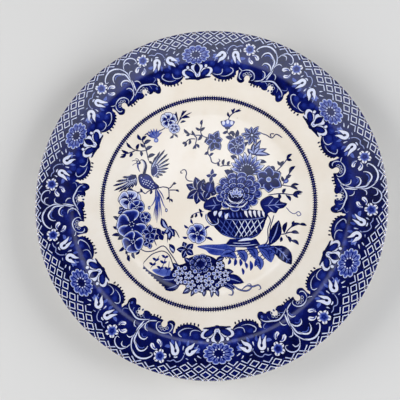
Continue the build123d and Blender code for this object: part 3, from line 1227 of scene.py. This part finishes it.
def drawUpperLeft(d):
    stems(d, [
        [(-24, 56), (-22.5, 60), (-19, 64), (-12, 67.6)], [(-22, 61), (-19.6, 66), (-18.6, 69)],
        [(-26.5, 56), (-26.4, 50), (-26.6, 47.6)],
        [(-48.6, 50), (-44, 52.6), (-38, 53), (-32, 56)], [(-45, 30), (-46, 35), (-48, 42), (-50.6, 47)],
        [(-47, 38.6), (-51, 38), (-57, 39.4), (-60.6, 43.6)],
        [(-55, 38.4), (-60, 36.4), (-66, 34.8)],
    ])
    blades(d, [
        (-22.6, 61, -24, 68, 1.8), (-20.4, 64, -16, 68.8, 1.5), (-20, 63, -13.6, 63.6, 1.7),
        (-21, 59.4, -16.6, 60.6, 1.5), (-26.4, 50, -29, 47.4, 1.3),
        (-26, 50.6, -22.8, 48, 1.3), (-50.6, 46.4, -53.4, 50.6, 2.0), (-50.2, 45.6, -46.8, 49.6, 2.0),
        (-48.6, 43, -43.4, 46.4, 2.4),
        (-47.4, 38, -42.2, 41.6, 2.4), (-45.6, 32.6, -40, 35.2, 2.4), (-47.4, 41, -51.4, 44, 1.9),
        (-54, 38.6, -52.4, 43.6, 1.9),
        (-51.4, 38, -50.6, 33.8, 1.9), (-60.4, 36.8, -65.4, 38.4, 1.7), (-62, 35.8, -66.6, 32.8, 1.7),
        (-58, 37.4, -59.6, 33.4, 1.7),
        (-57.4, 39.8, -61.6, 44.4, 1.6), (-44.8, 30, -42.6, 27.6, 1.5),
    ])
    petals(d, -30, 61.6, 6.2, 5, 20, 0.9, 0.02, 0.16, 0.86, heart=0.24, heartTone=0.85)
    petals(d, -25.6, 55.2, 4.2, 5, 50, 0.9, 0.02, 0.3, 0.84, heart=0.24, heartTone=0.85)
    for k in range(7):  # a fan of thin petals
        blade(d, -39.4, 47.6, *polar(-40.6, 48.0, 7.4, 40 + 18.5 * k), 1.25, 0.42 if k % 2 else 0.6, 0.05)
    d.dot(-39.4, 46.2, 1.8, 0.6, core=0.15)
    stems(d, [
        [(-4.4, 59), (-5.4, 53), (-4, 49), (1.4, 46.6)], [(-4.4, 49.4), (-10, 49.6), (-14.6, 51)],
        [(-9, 38.4), (-9.2, 43), (-8.4, 47), (-10.4, 49.4)],
        [(-8.8, 46.6), (-14, 46.4), (-18.4, 42.4)],
        [(-20, 22.4), (-17.4, 23), (-16, 20.6), (-16.6, 17), (-14.8, 14.6), (-11, 14)],
        [(-18.9, 20.4), (-20.4, 20.6), (-20, 22.4)],
        [(-57, 5), (-50, 6.6), (-47, 5.2), (-44, 7.4), (-36, 9.6), (-33, 10), (-29.6, 8.6), (-29, 2),
         (-28.4, -2)],
        [(-30, 8.6), (-27.6, 10), (-25, 14)], [(-29.4, 7.6), (-25.6, 7.6), (-21.8, 7.4)],
    ])
    blades(d, [
        (-4.6, 57, -4, 61.6, 1.7), (-5, 53.6, -9.2, 55.6, 1.7), (-5, 52.4, -2, 55.4, 1.7),
        (-9.6, 49.6, -12, 53.2, 1.6), (-14, 50.8, -18.2, 54.6, 1.8),
        (-13.6, 50.6, -16.6, 49.6, 1.5), (-4.6, 50.4, -7.6, 45.4, 1.9), (-13.6, 46.4, -14.4, 42.2, 1.8),
        (-16.6, 44.6, -19.4, 43.4, 1.9),
        (-16.6, 44.6, -17.6, 40.6, 1.6), (-9.2, 42.6, -11.4, 38.8, 1.7), (-9, 42.6, -6.6, 39.4, 1.7),
        (-0.6, 47.4, -2.6, 43.6, 1.7),
        (-28.8, 3, -31.2, 0.6, 1.3), (-28.6, 1, -26.4, -1.6, 1.3), (-26.6, 11.6, -23.6, 12.6, 1.4),
        (-60.8, 8.4, -56.2, 6, 2.6),
        (-24.4, 7.6, -21.6, 6.2, 1.3), (-49, 6.4, -50.6, 9.2, 1.5), (-42.6, 8, -43.4, 4.6, 1.5),
    ])
    starLeaf(d, -6.2, 6.8, [(-16.2, 11.6), (-9.4, 17.2), (-2.8, 15.6), (-15.6, 1.2), (-8.6, -3.2),
        (-0.8, -1.8)], 5.6)
    starLeaf(d, 0.6, 6.6, [(-4.6, 12.6), (3.6, 15.2), (6.4, 4.4), (-2.4, 0.4)], 5.0)
    starLeaf(d, 3.0, 17.6, [(3.6, 23.4), (-1.2, 18.4), (6.8, 19.2), (1.6, 12.8)], 2.2, 0.85, False)
    starLeaf(d, -64, -7.6, [(-66.4, -4.6), (-60.8, -5.4), (-67.4, -10)], 2.8)


def drawUpperRight(d):
    stems(d, [
        [(15, 57), (14.8, 52), (16.6, 49), (20, 46), (22, 41)], [(15.4, 61), (18, 65), (25, 69)],
        [(19, 66), (18, 69)],
        [(5, 42), (1.4, 41), (0, 36), (2, 32), (3, 28.6), (6, 27.4), (9, 29.2), (8, 31)],
        [(40, 50), (44, 48.4), (48, 46), (51, 48.6), (54, 47), (55.6, 45.6)],
        [(47.6, 46.4), (47, 49), (50, 49)], [(9, 25), (13, 25.8), (17.4, 25.4)],
        [(50, 20), (55, 25), (60.6, 32)], [(48, 12), (56, 10), (66, 8.4)],
        [(55, 10), (58, 16), (63.8, 23.4)], [(44, 3), (54, 4), (62, 3), (69, 3.6)], [(57, 3.6), (59, 0)],
        [(33, 42), (33.4, 46)],
    ])
    blades(d, [
        (16.6, 63, 15.4, 67, 1.4), (19, 65.6, 20.8, 69.4, 1.4), (20.6, 66.4, 25.4, 67.4, 1.4),
        (14.8, 52.4, 11.2, 50.6, 1.9), (16, 49.6, 20, 51.6, 1.9),
        (13.4, 47.6, 18.8, 45.2, 2.6), (18.2, 52, 19.2, 47.6, 2.2), (22.6, 53, 20.6, 47.2, 2.4),
        (25.4, 46.6, 21, 43.4, 2.4), (26, 38, 30.6, 43.6, 2.4),
        (0.4, 37, -2.6, 34.4, 1.9), (1.6, 33, 4.4, 35.4, 1.7), (11.6, 25.6, 12.4, 30.6, 1.8),
        (8.6, 25, 8, 28.4, 1.6), (15, 25.6, 16.4, 29, 1.8),
        (17, 33, 21.6, 29.4, 3.0), (12.4, 22, 17.4, 17.6, 3.6), (15, 16.4, 19.4, 22.4, 3.2),
        (54, 24, 56.4, 28.4, 1.9), (58.6, 29.6, 62.4, 33.4, 1.9),
        (58.4, 29, 62.2, 28.4, 1.8), (55, 25, 51.8, 28.4, 1.8), (60, 19.4, 64.6, 24.2, 2.2),
        (57.6, 14.6, 61.6, 17.6, 2.2), (57, 12.4, 54.6, 17, 1.9),
        (61, 9.6, 66.8, 10.4, 1.7), (60.6, 9, 66, 6.6, 1.7), (55, 4, 57.4, 7.6, 2.0),
        (62, 3, 69.4, 4.8, 2.1), (62, 3, 66, 0.6, 1.9), (58, 2.6, 60.4, -1.6, 1.9),
        (52, 4, 52.4, -0.4, 2.0), (46, 24, 49.6, 21.6, 2.6), (53.4, 21, 49, 17.4, 2.4),
        (37.4, 27.4, 43.6, 27.6, 2.6),
    ])
    # cup-shaped bud
    d.fill(smooth([(14.8, 54.4), (18.6, 56), (20.6, 59.4), (17.8, 60.6), (15.2, 61.4), (12.4, 60.4),
                   (9.8, 59.8), (11.2, 56.2)], True), 0.9, 0.35, 1.5)
    for x, y in ((12, 58.6), (15.2, 59.4), (18.2, 58.6)):
        d.dot(x, y, 1.2, 0.05, 1.7)
    d.dot(15, 54.6, 2.0, 0.92, 1.2)
    # leafy star, narrow star and small rose
    pointedPetals(d, 5, 44.6, [(8.2, 52.6), (1, 50.6), (-1.8, 43.6), (2.2, 36.8), (9.4, 37.6),
        (11.2, 45.8)], 4.8, 0.93)
    d.dot(5, 44.6, 1.3, 0.1, core=0.6)
    pointedPetals(d, 33.2, 48.6, [polar(33.2, 48.6, 7.6 + 1.1 * math.sin(2.2 * k),
        12 + 40 * k) for k in range(9)], 3.1, 0.85)
    d.dot(33.2, 48.6, 1.7, 0.97)
    d.dot(33.2, 48.6, 0.8, 0.1)
    petals(d, 21.4, 40, 6.4, 6, 0, 0.98, 0.05, 0.88, 0.97, 1.05, 0.3)
    petals(d, 24, 44.8, 3.6, 5, 0, 1, 0.05, 0.85, 0.97)
    for tip in ((34.4, 42.6), (40, 44.8), (44, 38), (46.4, 33.4), (29.8, 38.4), (39, 40)):
        blade(d, 34.4, 33.4, *tip, 2.9, 0.9, 0.06)
        blade(d, 34.8, 34.4, *partWay(34.8, 34.4, *tip, 0.82), 1.2, 0.2, 0.06)
    # daisy that rises behind the large bloom
    x, y = 29.2, 20.4
    tips = [(16.8, 23.4), (17.4, 27.6), (19.6, 31.6), (23.2, 34.4), (27.6, 35.8), (32.2, 35.2),
            (36.6, 33.0), (40.2, 29.8), (42.2, 25.4), (41.6, 20.8)]
    for tone, width, share, core in ((0.96, 4.6, 1.0, None), (0.06, 3.3, 0.96, 0.62)):
        for tip in tips:
            blade(d, x, y, *partWay(x, y, *tip, share), width, tone, 0, core)
    for tip in tips:
        for lean in (-0.08, 0.08):
            blade(d, x, y, *partWay(x, y, *tip, 0.78, lean), 0.75, 0.9, 0)
    d.dot(x, y + 1.4, 6.2, 0.97, 4.4)
    for k in range(8):
        d.dot(*polar(x, y + 1.0, 4.8, 10 + 23 * k), 0.5, 0.12)
    # open flower of broad pointed petals
    pointedPetals(d, 45, 14.6, [polar(45, 14.6, 10.4 + 0.8 * math.sin(3 * k),
        28 + 60 * k) for k in range(6)], 7.6, 0.9)
    d.dot(45, 14.6, 3.0, 0.97)
    d.dot(45, 14.6, 1.9, 0.08, core=0.4)
    d.dot(57.6, 13.2, 2.1, 0.85, 1.6, 30, 0.2)


def ruffle(d, x, y, rx, ry, lobes, turn, shade, depth):
    # one whorl of petals: dark line, thin pale edge, shaded inside with dark streaks and gaps
    d.fill(scallops(x, y, rx + 0.45, ry + 0.45, lobes, 0.17, turn, 6), 0.98)
    d.fill(scallops(x, y, rx, ry, lobes, 0.17, turn, 6), 0.03, shade, depth)
    for k in range(lobes):
        a = turn + 360 / lobes * k
        for lean, inner, outer, width, tone in ((0, 0.6, 1.02, 1.1, 0.98), (0.5, 0.62, 0.9, 0.6, 0.3),
                (0.26, 0.6, 0.86, 0.5, 0.4), (0.74, 0.6, 0.86, 0.5, 0.4)):
            px, py = polar(0, 0, 1, a + lean * 360 / lobes)
            d.stroke([(x + rx * inner * px, y + ry * inner * py),
                      (x + rx * outer * px, y + ry * outer * py)], width, tone, leafy, 2)


def drawPeony(d):
    for x, y, rx, ry, lobes, turn, shade in (
        (22.6, 5.8, 17.2, 14.8, 12, 5, 0.82), (22.4, 5.6, 13.4, 11.2, 10, 24, 0.86),
        (21.4, 4.4, 9.6, 8.0, 8, 0, 0.88),
        (21.0, 3.2, 6.6, 5.4, 7, 20, 0.9),
    ):
        ruffle(d, x, y, rx, ry, lobes, turn, shade, 0.95)
    d.fill(ellipse(20.6, 2.4, 5.4, 4.2, 0, 20), 0.98)
    for tx, ty in ((16.4, 5.6), (18.8, 7.4), (21.8, 8.2), (24.6, 6.6), (25.8, 4.0)):
        blade(d, 20.6, 1.2, tx, ty, 2.2, 0.04, 0, 0.4)
    d.dot(20.4, 1.6, 3.4, 0.98, 1.9)
    for k in range(6):
        d.dot(17.8 + 1.05 * k, 2.0 - 0.5 * math.sin(2 * k), 0.45, 0.12)
    for line in ([(14.6, 2.2), (16.4, -1.0), (19.8, -2.4)], [(19.4, -2.6), (23.4, -2.6), (26.4, 0.2)],
                 [(12.4, -1.2), (15.6, -4.6), (20.2, -5.6)], [(20.6, -5.8), (25.6, -5.2), (29.2, -1.6)]):
        d.stroke(line, 2.0, 0.97, leafy)
        d.stroke(line, 1.0, 0.05, leafy)
    # small dark bud beside it
    d.dot(1.2, 9, 3.9, 0.95, 4.6, 20, 0.7)
    blade(d, 0.4, 5, 2.2, 12.6, 0.5, 0.3, 0)


def drawBasket(d):
    d.fill(smooth([(0.6, -9), (2, -16), (6.6, -22.6), (12.6, -27), (24, -29.4), (34, -28), (39.4, -23),
                   (42, -16.4), (42.6, -9.4), (21, -7)], True), 0.94)
    for k in range(9):  # woven bars, crossing, brighter towards the right
        x = 3.4 + 4.7 * k
        foot = 23.4 + (x - 23.4) * 0.72
        for lean in (-6.4, 6.4):
            end = foot + lean
            if 8.5 < end < 39.5:
                depth = -28.0 + 0.021 * (end - 23.4) ** 2
                tone = 0.08 if (x + end) / 2 > 21 else 0.5
                d.stroke([(x + 0.2, -14.8), ((x + end) / 2 + 0.2, (depth - 14.8) / 2), (end, depth)], 0.55,
                         tone)
    d.stroke([(12, -14.6), (23, -15.2), (34, -14.6), (41.6, -13.2)], 0.5, 0.3)
    d.stroke([(9.4, -24.6), (16, -27.6), (24, -28.7), (32, -27.7), (37, -25)], 0.5, 0.45)
    for k in range(5):  # upright ribs of the rim, seen at the right
        blade(d, 29.2 + 3.0 * k, -13.4, 27.4 + 3.3 * k, -8.2, 2.0, 0.03, 0.06, profile=heavyEnd)
    for k in range(6):
        blade(d, 10.6 + 2.9 * k, -13.6, 9.4 + 2.9 * k, -9.4, 1.0, 0.5, 0.06)
    d.cased([(-1.4, -10.4), (-0.6, -15), (3.2, -18.6), (7.4, -17.4), (7.2, -13.8)], 0.8, 0.12)
    for x, y in ((8.6, -10.6), (13.2, -12.4), (5, -9.8)):
        blade(d, x, y - 2.4, x + 1.6, y + 2.2, 2.0, 0.06, 0.1)
    stems(d, [[(43.4, -11), (45.6, -16), (43.6, -22), (43.4, -30), (40, -34.4)],
              [(48.4, -11.4), (47, -16), (45.2, -22), (45.2, -30), (42.4, -35)]], 0.7, 0.88)
    d.fill([(16, -29), (35, -29), (38, -33.4), (33, -35.6), (17, -35), (13, -32.6)], 0.92)
    blade(d, 22, -30.6, 33.4, -29.4, 1.5, 0.06, 0.05)
    stems(d, [[(14, -33.6), (24, -34.2), (36, -33)], [(18, -32), (25, -32.4), (31, -32)]], 0.5, 0.15)
    # dark leaves on both sides of the rim
    for outline, veins in (
        ([(38.4, -2), (42.4, 1.4), (46.4, 2.6), (49, 1), (52.4, 1), (53.4, -2), (58, -3.4), (55.4, -6.6),
          (51.8, -7.6), (49.6, -10.6), (46, -9.6), (42.4, -11), (39.6, -7)],
         [(41, -5, 56, -3.8), (44, -4.8, 48.4, 0.6), (44, -5, 48.6, -9.4), (48.6, -4.6, 52.4, -0.6),
          (48.6, -4.6, 52.6, -7)]),
        ([(-3, -6.6), (-2.8, -2.4), (0.4, 0.4), (4.4, 2.4), (8.4, 0.6), (10.4, -3), (9.6, -7), (5, -8.6),
          (0.6, -8)],
         [(9, -3.8, -1.8, -5), (6, -4, 3.6, 0.6), (6, -4, 3, -7.4)]),
    ):
        d.fill(smooth(outline, True, 3), 0.95, 0.86, 1.6)
        for vein in veins:
            blade(d, *vein, 0.42, 0.3, 0)
    stems(d, [[(57, -6), (60, -9.6), (63, -11), (66, -9.4), (67.6, -11.6), (65.6, -12.6), (64.4, -10.8)],
              [(-2.6, -8.8), (-8, -9.6), (-12.6, -11.8)]], 0.55, 0.7)
    blades(d, [(-6, -9.2, -4.6, -13.4, 1.5), (-8.6, -9.8, -9.6, -13.2, 1.5), (-11, -11, -13, -13.6, 1.4),
               (-4, -9, -6.6, -6.6, 1.5)])


def drawLowerLeft(d):
    stems(d, [
        [(-51, -35.6), (-46, -38), (-40, -37.4), (-33, -34), (-27.6, -39.6), (-22, -48)],
        [(-33, -14), (-30, -20), (-30, -32)], [(-28, -21), (-24, -23), (-21, -28.4)],
        [(-38, -20), (-40, -28), (-38, -34)], [(-43, -20), (-46, -27), (-50, -33)],
        [(-60, -35), (-59.4, -41), (-57.4, -45.4)],
    ], 0.75)
    blades(d, [
        (-70.8, -12, -66.8, -15.4, 2.2), (-71, -26.2, -64.4, -26.6, 2.2), (-66.8, -29.4, -61, -27.2, 2.6),
        (-60.6, -40, -57.6, -36.4, 2.0),
        (-57.6, -45.4, -58.2, -40.4, 1.9), (-54, -43.4, -55.6, -37.6, 1.9), (-62, -34, -65.4, -38, 2.0),
        (-51, -36, -53.4, -40.6, 1.9),
        (-49, -27, -46.4, -21, 2.4), (-46, -31.6, -42, -36, 2.4), (-44, -33, -47.6, -30, 2.2),
        (-66, -20.6, -70.6, -19.6, 2.0), (-50, -24, -52, -29, 2.4),
    ])
    # outlined flower, two full flowers and a lower one
    petals(d, -58.6, 0.4, 8.8, 5, 8, 0.72, 0.02, 0.2, 0.93, 1.0, 0.24, 0.85)
    petals(d, -53.2, -4.8, 5.8, 5, 30, 0.9, 0.04, 0.7, 0.95)
    petals(d, -57, -17.8, 11.6, 5, 26, 0.88, 0.03, 0.78, 0.98, 1.1, 0.24)
    petals(d, -55.6, -30.8, 8.2, 5, 54, 0.95, 0.03, 0.8, 0.98, 1.12, 0.26)
    petals(d, -46.6, -12.8, 4.2, 5, 12, 1, 0.06, 0.82, 0.97)
    # buds
    pointedPetals(d, -43, -24.4, [polar(-43, -24.4, 6.4, 20 + 72 * k) for k in range(5)], 4.4, 0.85)
    pointedPetals(d, -43.6, -31.8, [polar(-43.6, -31.8, 4.6, 40 + 80 * k) for k in range(4)], 3.2, 0.8)
    starLeaf(d, -35.6, -25.6, [(-39.4, -29.4), (-31.8, -23.6), (-33.4, -29.8), (-37.6, -21)], 3.4, 0.93,
             False)
    for tip in ((-34.6, -13.4), (-26.8, -21.8), (-24.8, -27.4), (-28.6, -30), (-31.6, -25)):
        blade(d, -29.8, -21.4, *tip, 3.6, 0.92, 0.1)
        blade(d, -29.8, -21.4, *partWay(-29.8, -21.4, *tip, 0.8), 1.3, 0.2, 0.1)
    blade(d, -28.6, -32.6, -25.6, -39.6, 3.4, 0.9)
    for k in range(3):
        blade(d, -28.4 + 0.9 * k, -34.6 - 0.6 * k, -26.8 + 0.7 * k, -37.6 - 0.5 * k, 0.5, 0.12)
    starLeaf(d, -15.8, -37, [(-18.2, -31), (-10.8, -32.6), (-23, -36.6), (-18.6, -43), (-10.8, -40.6)], 4.0)
    petals(d, -8, -25, 7.4, 5, 10, 0.95, 0.02, 0.4, 0.93, 1.0, 0.24, 0.93)
    blades(d, [(-2, -28, 3.6, -30.4, 1.6), (-2.6, -22.4, 1.4, -19.6, 1.4), (-14.4, -21, -17.6, -18.6, 1.4),
               (-15, -28, -18.8, -27.4, 1.5), (-11, -18, -12.6, -14, 1.3)], 0.8)
    # pale hanging leaf with sprigs on it, over a dark saw edge
    for k in range(9):
        x, y = -46.6 + 2.0 * k, -49.0 - 1.75 * k
        blade(d, x + 3.4, y + 2.8, x - 1.2, y - 1.6, 3.6, 0.95, 0.1)
    edge = smooth([(-47.6, -47.6), (-45.4, -44), (-41.6, -40.4), (-37.6, -38.6), (-33.2, -37.8),
                   (-28.8, -40.4), (-26, -46.8), (-24, -55.6),
                   (-28.8, -57.6), (-36.6, -55.8), (-43.6, -52.2)], True)
    d.fill(edge, 0.02)
    d.stroke(np.vstack([edge, edge[:1]]), 0.7, 0.92, even, 1)
    d.fill(smooth([(-41, -51.4), (-35, -50.4), (-28.6, -50.6), (-25.6, -54.6), (-29, -56.8), (-36.6, -55)],
                  True), 0.3, 0.52, 2.0)
    stems(d, [[(-42.6, -50.6), (-38.6, -45.6), (-35.6, -41)], [(-36.6, -53.6), (-33, -48), (-31, -41.6)],
              [(-30.6, -55.6), (-29, -50), (-28.4, -45)]], 0.5, 0.75)
    for x, y in ((-40.6, -48.4), (-38.2, -45.0), (-34.8, -51.0), (-32.6, -47.0), (-31.4, -43.0),
                 (-29.4, -51.6)):
        blade(d, x, y, x - 2.8, y + 2.2, 1.5, 0.82, -0.1)
        blade(d, x, y, x + 2.4, y + 1.6, 1.4, 0.75, 0.1)


def drawFruitBank(d):
    d.fill(smooth([(-28, -55), (-24, -49), (-17, -46.6), (-14, -42.8), (-5, -40.4), (3, -42), (9, -46.4),
                   (13.6, -52),
                   (16, -58), (11, -62.6), (6, -66.4), (-2, -66), (-9, -66.6), (-15, -63), (-22, -61.6),
                   (-27, -61)], True), 0.97)
    for x, y, tx, ty, w in ((-22, -57, -35.6, -58.4, 5.4), (-20, -60, -31, -65.6, 4.6),
            (-12, -62, -18.4, -68.4, 3.6), (-10, -63, -12.4, -70.2, 3.0),
                            (-4, -64, -3, -70.4, 3.2), (3, -63, 7.6, -70.4, 3.2), (2, -64, 2.4, -71, 2.4),
                            (10, -58, 25.6, -60.4, 6.2), (10, -60, 19, -65.2, 4.0),
                            (10, -54, 18.4, -52.8, 3.8), (-20, -50, -26, -46.6, 3.4),
                            (6, -46, 11.6, -42.6, 3.6), (-12, -46, -17.4, -42.6, 3.2)):
        blade(d, x, y, tx, ty, w, 0.96, 0.08, 0.82)
        blade(d, x, y, *partWay(x, y, tx, ty, 0.86), 0.45, 0.25, 0.08)
    # dark rose on top
    ruffle(d, -5.4, -47.0, 8.2, 6.8, 8, 10, 0.96, 0.8)
    ruffle(d, -5.4, -47.2, 4.6, 3.8, 6, 30, 0.96, 0.8)
    # open blossoms, then berries
    for x, y, r in ((-20.6, -52.4, 4.0), (-14.2, -55.6, 3.8), (-21.4, -58.8, 3.4), (-12.6, -62.0, 3.8),
                    (-6.6, -57.6, 3.6), (0.4, -60.4, 4.2), (6.6, -54.6, 4.2),
                    (8.6, -48.2, 3.4), (10.4, -60.0, 3.4), (-5.2, -64.4, 3.2), (3.4, -65.2, 2.6),
                    (12.8, -54.0, 2.8)):
        turn = 31 * (x + y)
        d.dot(x, y, r + 0.3, 0.97)
        for k in range(5):
            d.fill(ellipse(*polar(x, y, r * 0.58, 72 * k + turn), r * 0.38, r * 0.29, 72 * k + turn, 10),
                   0.03, 0.36, 1.0)
            d.stroke([(x, y), polar(x, y, r * 0.6, 72 * k + turn)], 0.4, 0.8, leafy, 2)
        d.dot(x, y, r * 0.2, 0.97)
    for x, y in ((-24.6, -55.2), (-16.8, -60.2), (-9.6, -52.6), (0.6, -54.4), (3.0, -50.2), (-17.0, -50.2),
                 (14.4, -58.0), (6.6, -62.4), (-9.0, -66.4), (-1.6, -56.0)):
        d.dot(x, y, 1.9, 0.97)
        d.dot(x + 0.1, y + 0.1, 1.45, 0.03, core=0.45)
    # scrolling stems to the right
    for line in ([(9, -61.6), (14, -61.4), (18, -62.6), (22, -65.2), (27.4, -66.2), (30.8, -64.2),
                  (30.4, -61.4), (28, -61.6)],
                 [(24, -65.4), (28, -62.6), (32, -63.2), (36, -62), (37.6, -64.2), (36, -65.4)],
                 [(10, -62.6), (14, -64), (17.6, -66), (17.4, -69), (14.6, -69)]):
        d.stroke(line, 1.3, 0.9, tapered)
        d.stroke(line, 0.35, 0.3, tapered)


def drawLowerRight(d):
    d.fill(smooth([(-8, -34.6), (-1, -33.2), (8, -33), (17.6, -32.4), (20, -37), (14, -40.4), (6, -41),
                   (1, -39.6), (-2, -37)], True), 0.5, 0.62, 2)
    for k in range(6):
        d.stroke([(-6 + 3 * k, -34.6 - 0.4 * k), (2 + 3 * k, -35.6 - 0.5 * k)], 0.5, 0.3)
    for line, w in (
        ([(9, -41.6), (15, -39.4), (21, -43)], 5.2), ([(21, -37.4), (25.6, -40.6), (27, -46)], 5.4),
        ([(28, -35), (33, -38), (34.6, -44)], 5.6),
        ([(36, -34.6), (43, -38), (45.4, -46)], 9.0), ([(34.6, -41), (37.4, -46), (37.6, -51.4)], 5.0),
        ([(43, -35), (49.6, -37.6), (51, -42.6)], 4.8),
    ):
        d.stroke(line, w + 0.8, 0.88, leafy)
        d.stroke(line, w - 0.3, 0.42, leafy, core=0.66)
        d.stroke(line, 0.55, 0.95, leafy)
        for share in (0.25, 0.45, 0.65):
            x, y = np.array(line[0]) * (1 - share) + np.array(line[-1]) * share
            for side in (-1, 1):
                blade(d, x, y, x + side * w * 0.34, y - w * 0.3, 0.4, 0.9, 0)
    blades(d, [(19.6, -43, 19, -48.6, 2.0), (23, -43.6, 23.4, -48.8, 2.0), (30.4, -44.8, 30.6, -52, 2.2),
               (26.6, -46, 28, -50.6, 1.8), (16, -43.4, 14.4, -47.6, 1.8),
               (24.4, -50, 25.2, -55, 1.6), (34.4, -44, 33.6, -49, 2.0)], 0.7)
    blade(d, 47.6, -34.4, 59.4, -47.4, 8.4, 0.94, 0.08)
    blade(d, 47.8, -34.6, 58.2, -45.6, 0.6, 0.3, 0.08)
    for k in range(4):
        blade(d, 50 + 2.2 * k, -36.4 - 2.5 * k, 53.6 + 1.8 * k, -36.4 - 2.4 * k, 0.5, 0.35, 0)
        blade(d, 50 + 2.2 * k, -36.4 - 2.5 * k, 49.6 + 2.2 * k, -40 - 2.3 * k, 0.5, 0.35, 0)
    blade(d, 51.6, -15.8, 44.6, -33.6, 7.2, 0.94, 0.05)
    blade(d, 51.4, -17, 45.4, -32, 0.6, 0.25, 0.05)
    stems(d, [[(47, -30), (51, -26.4), (55.6, -25.6), (60, -24.4), (65.6, -25)],
              [(56, -25.6), (60, -21), (65.6, -18.8), (71, -19.2)], [(56, -26), (59, -29.6), (64.6, -33)],
              [(12, -41), (18, -38.4), (28, -37), (40, -35.4), (48, -34.6)],
              [(40, -34.6), (42.6, -32), (43.4, -30)]], 0.8)
    blades(d, [(55.4, -25, 57.6, -17, 2.6), (60, -21, 66.6, -18, 1.9), (66, -18.8, 71.2, -20, 1.8),
               (60, -24.6, 65.8, -25.4, 2.2), (58, -27.4, 59.4, -31.8, 2.0),
               (60.4, -30, 65.2, -33.6, 2.0), (53, -26, 51, -22.4, 2.0), (62, -20, 62.6, -16.2, 1.8),
               (53, -27.6, 52.4, -31.4, 1.8)])


def buildCentre():
    d = Drawing()
    for draw in (drawBird, drawUpperLeft, drawLowerLeft, drawLowerRight, drawFruitBank, drawBasket,
                 drawUpperRight, drawPeony):
        draw(d)
    reach = pictureSettings["reach"]
    box = np.array([reach, reach])
    corners, tones = triangulate(d, -box, box, pictureSettings["gridStep"])
    drape("printed_centre_picture", corners, tones, "centre_print")


buildCentre()
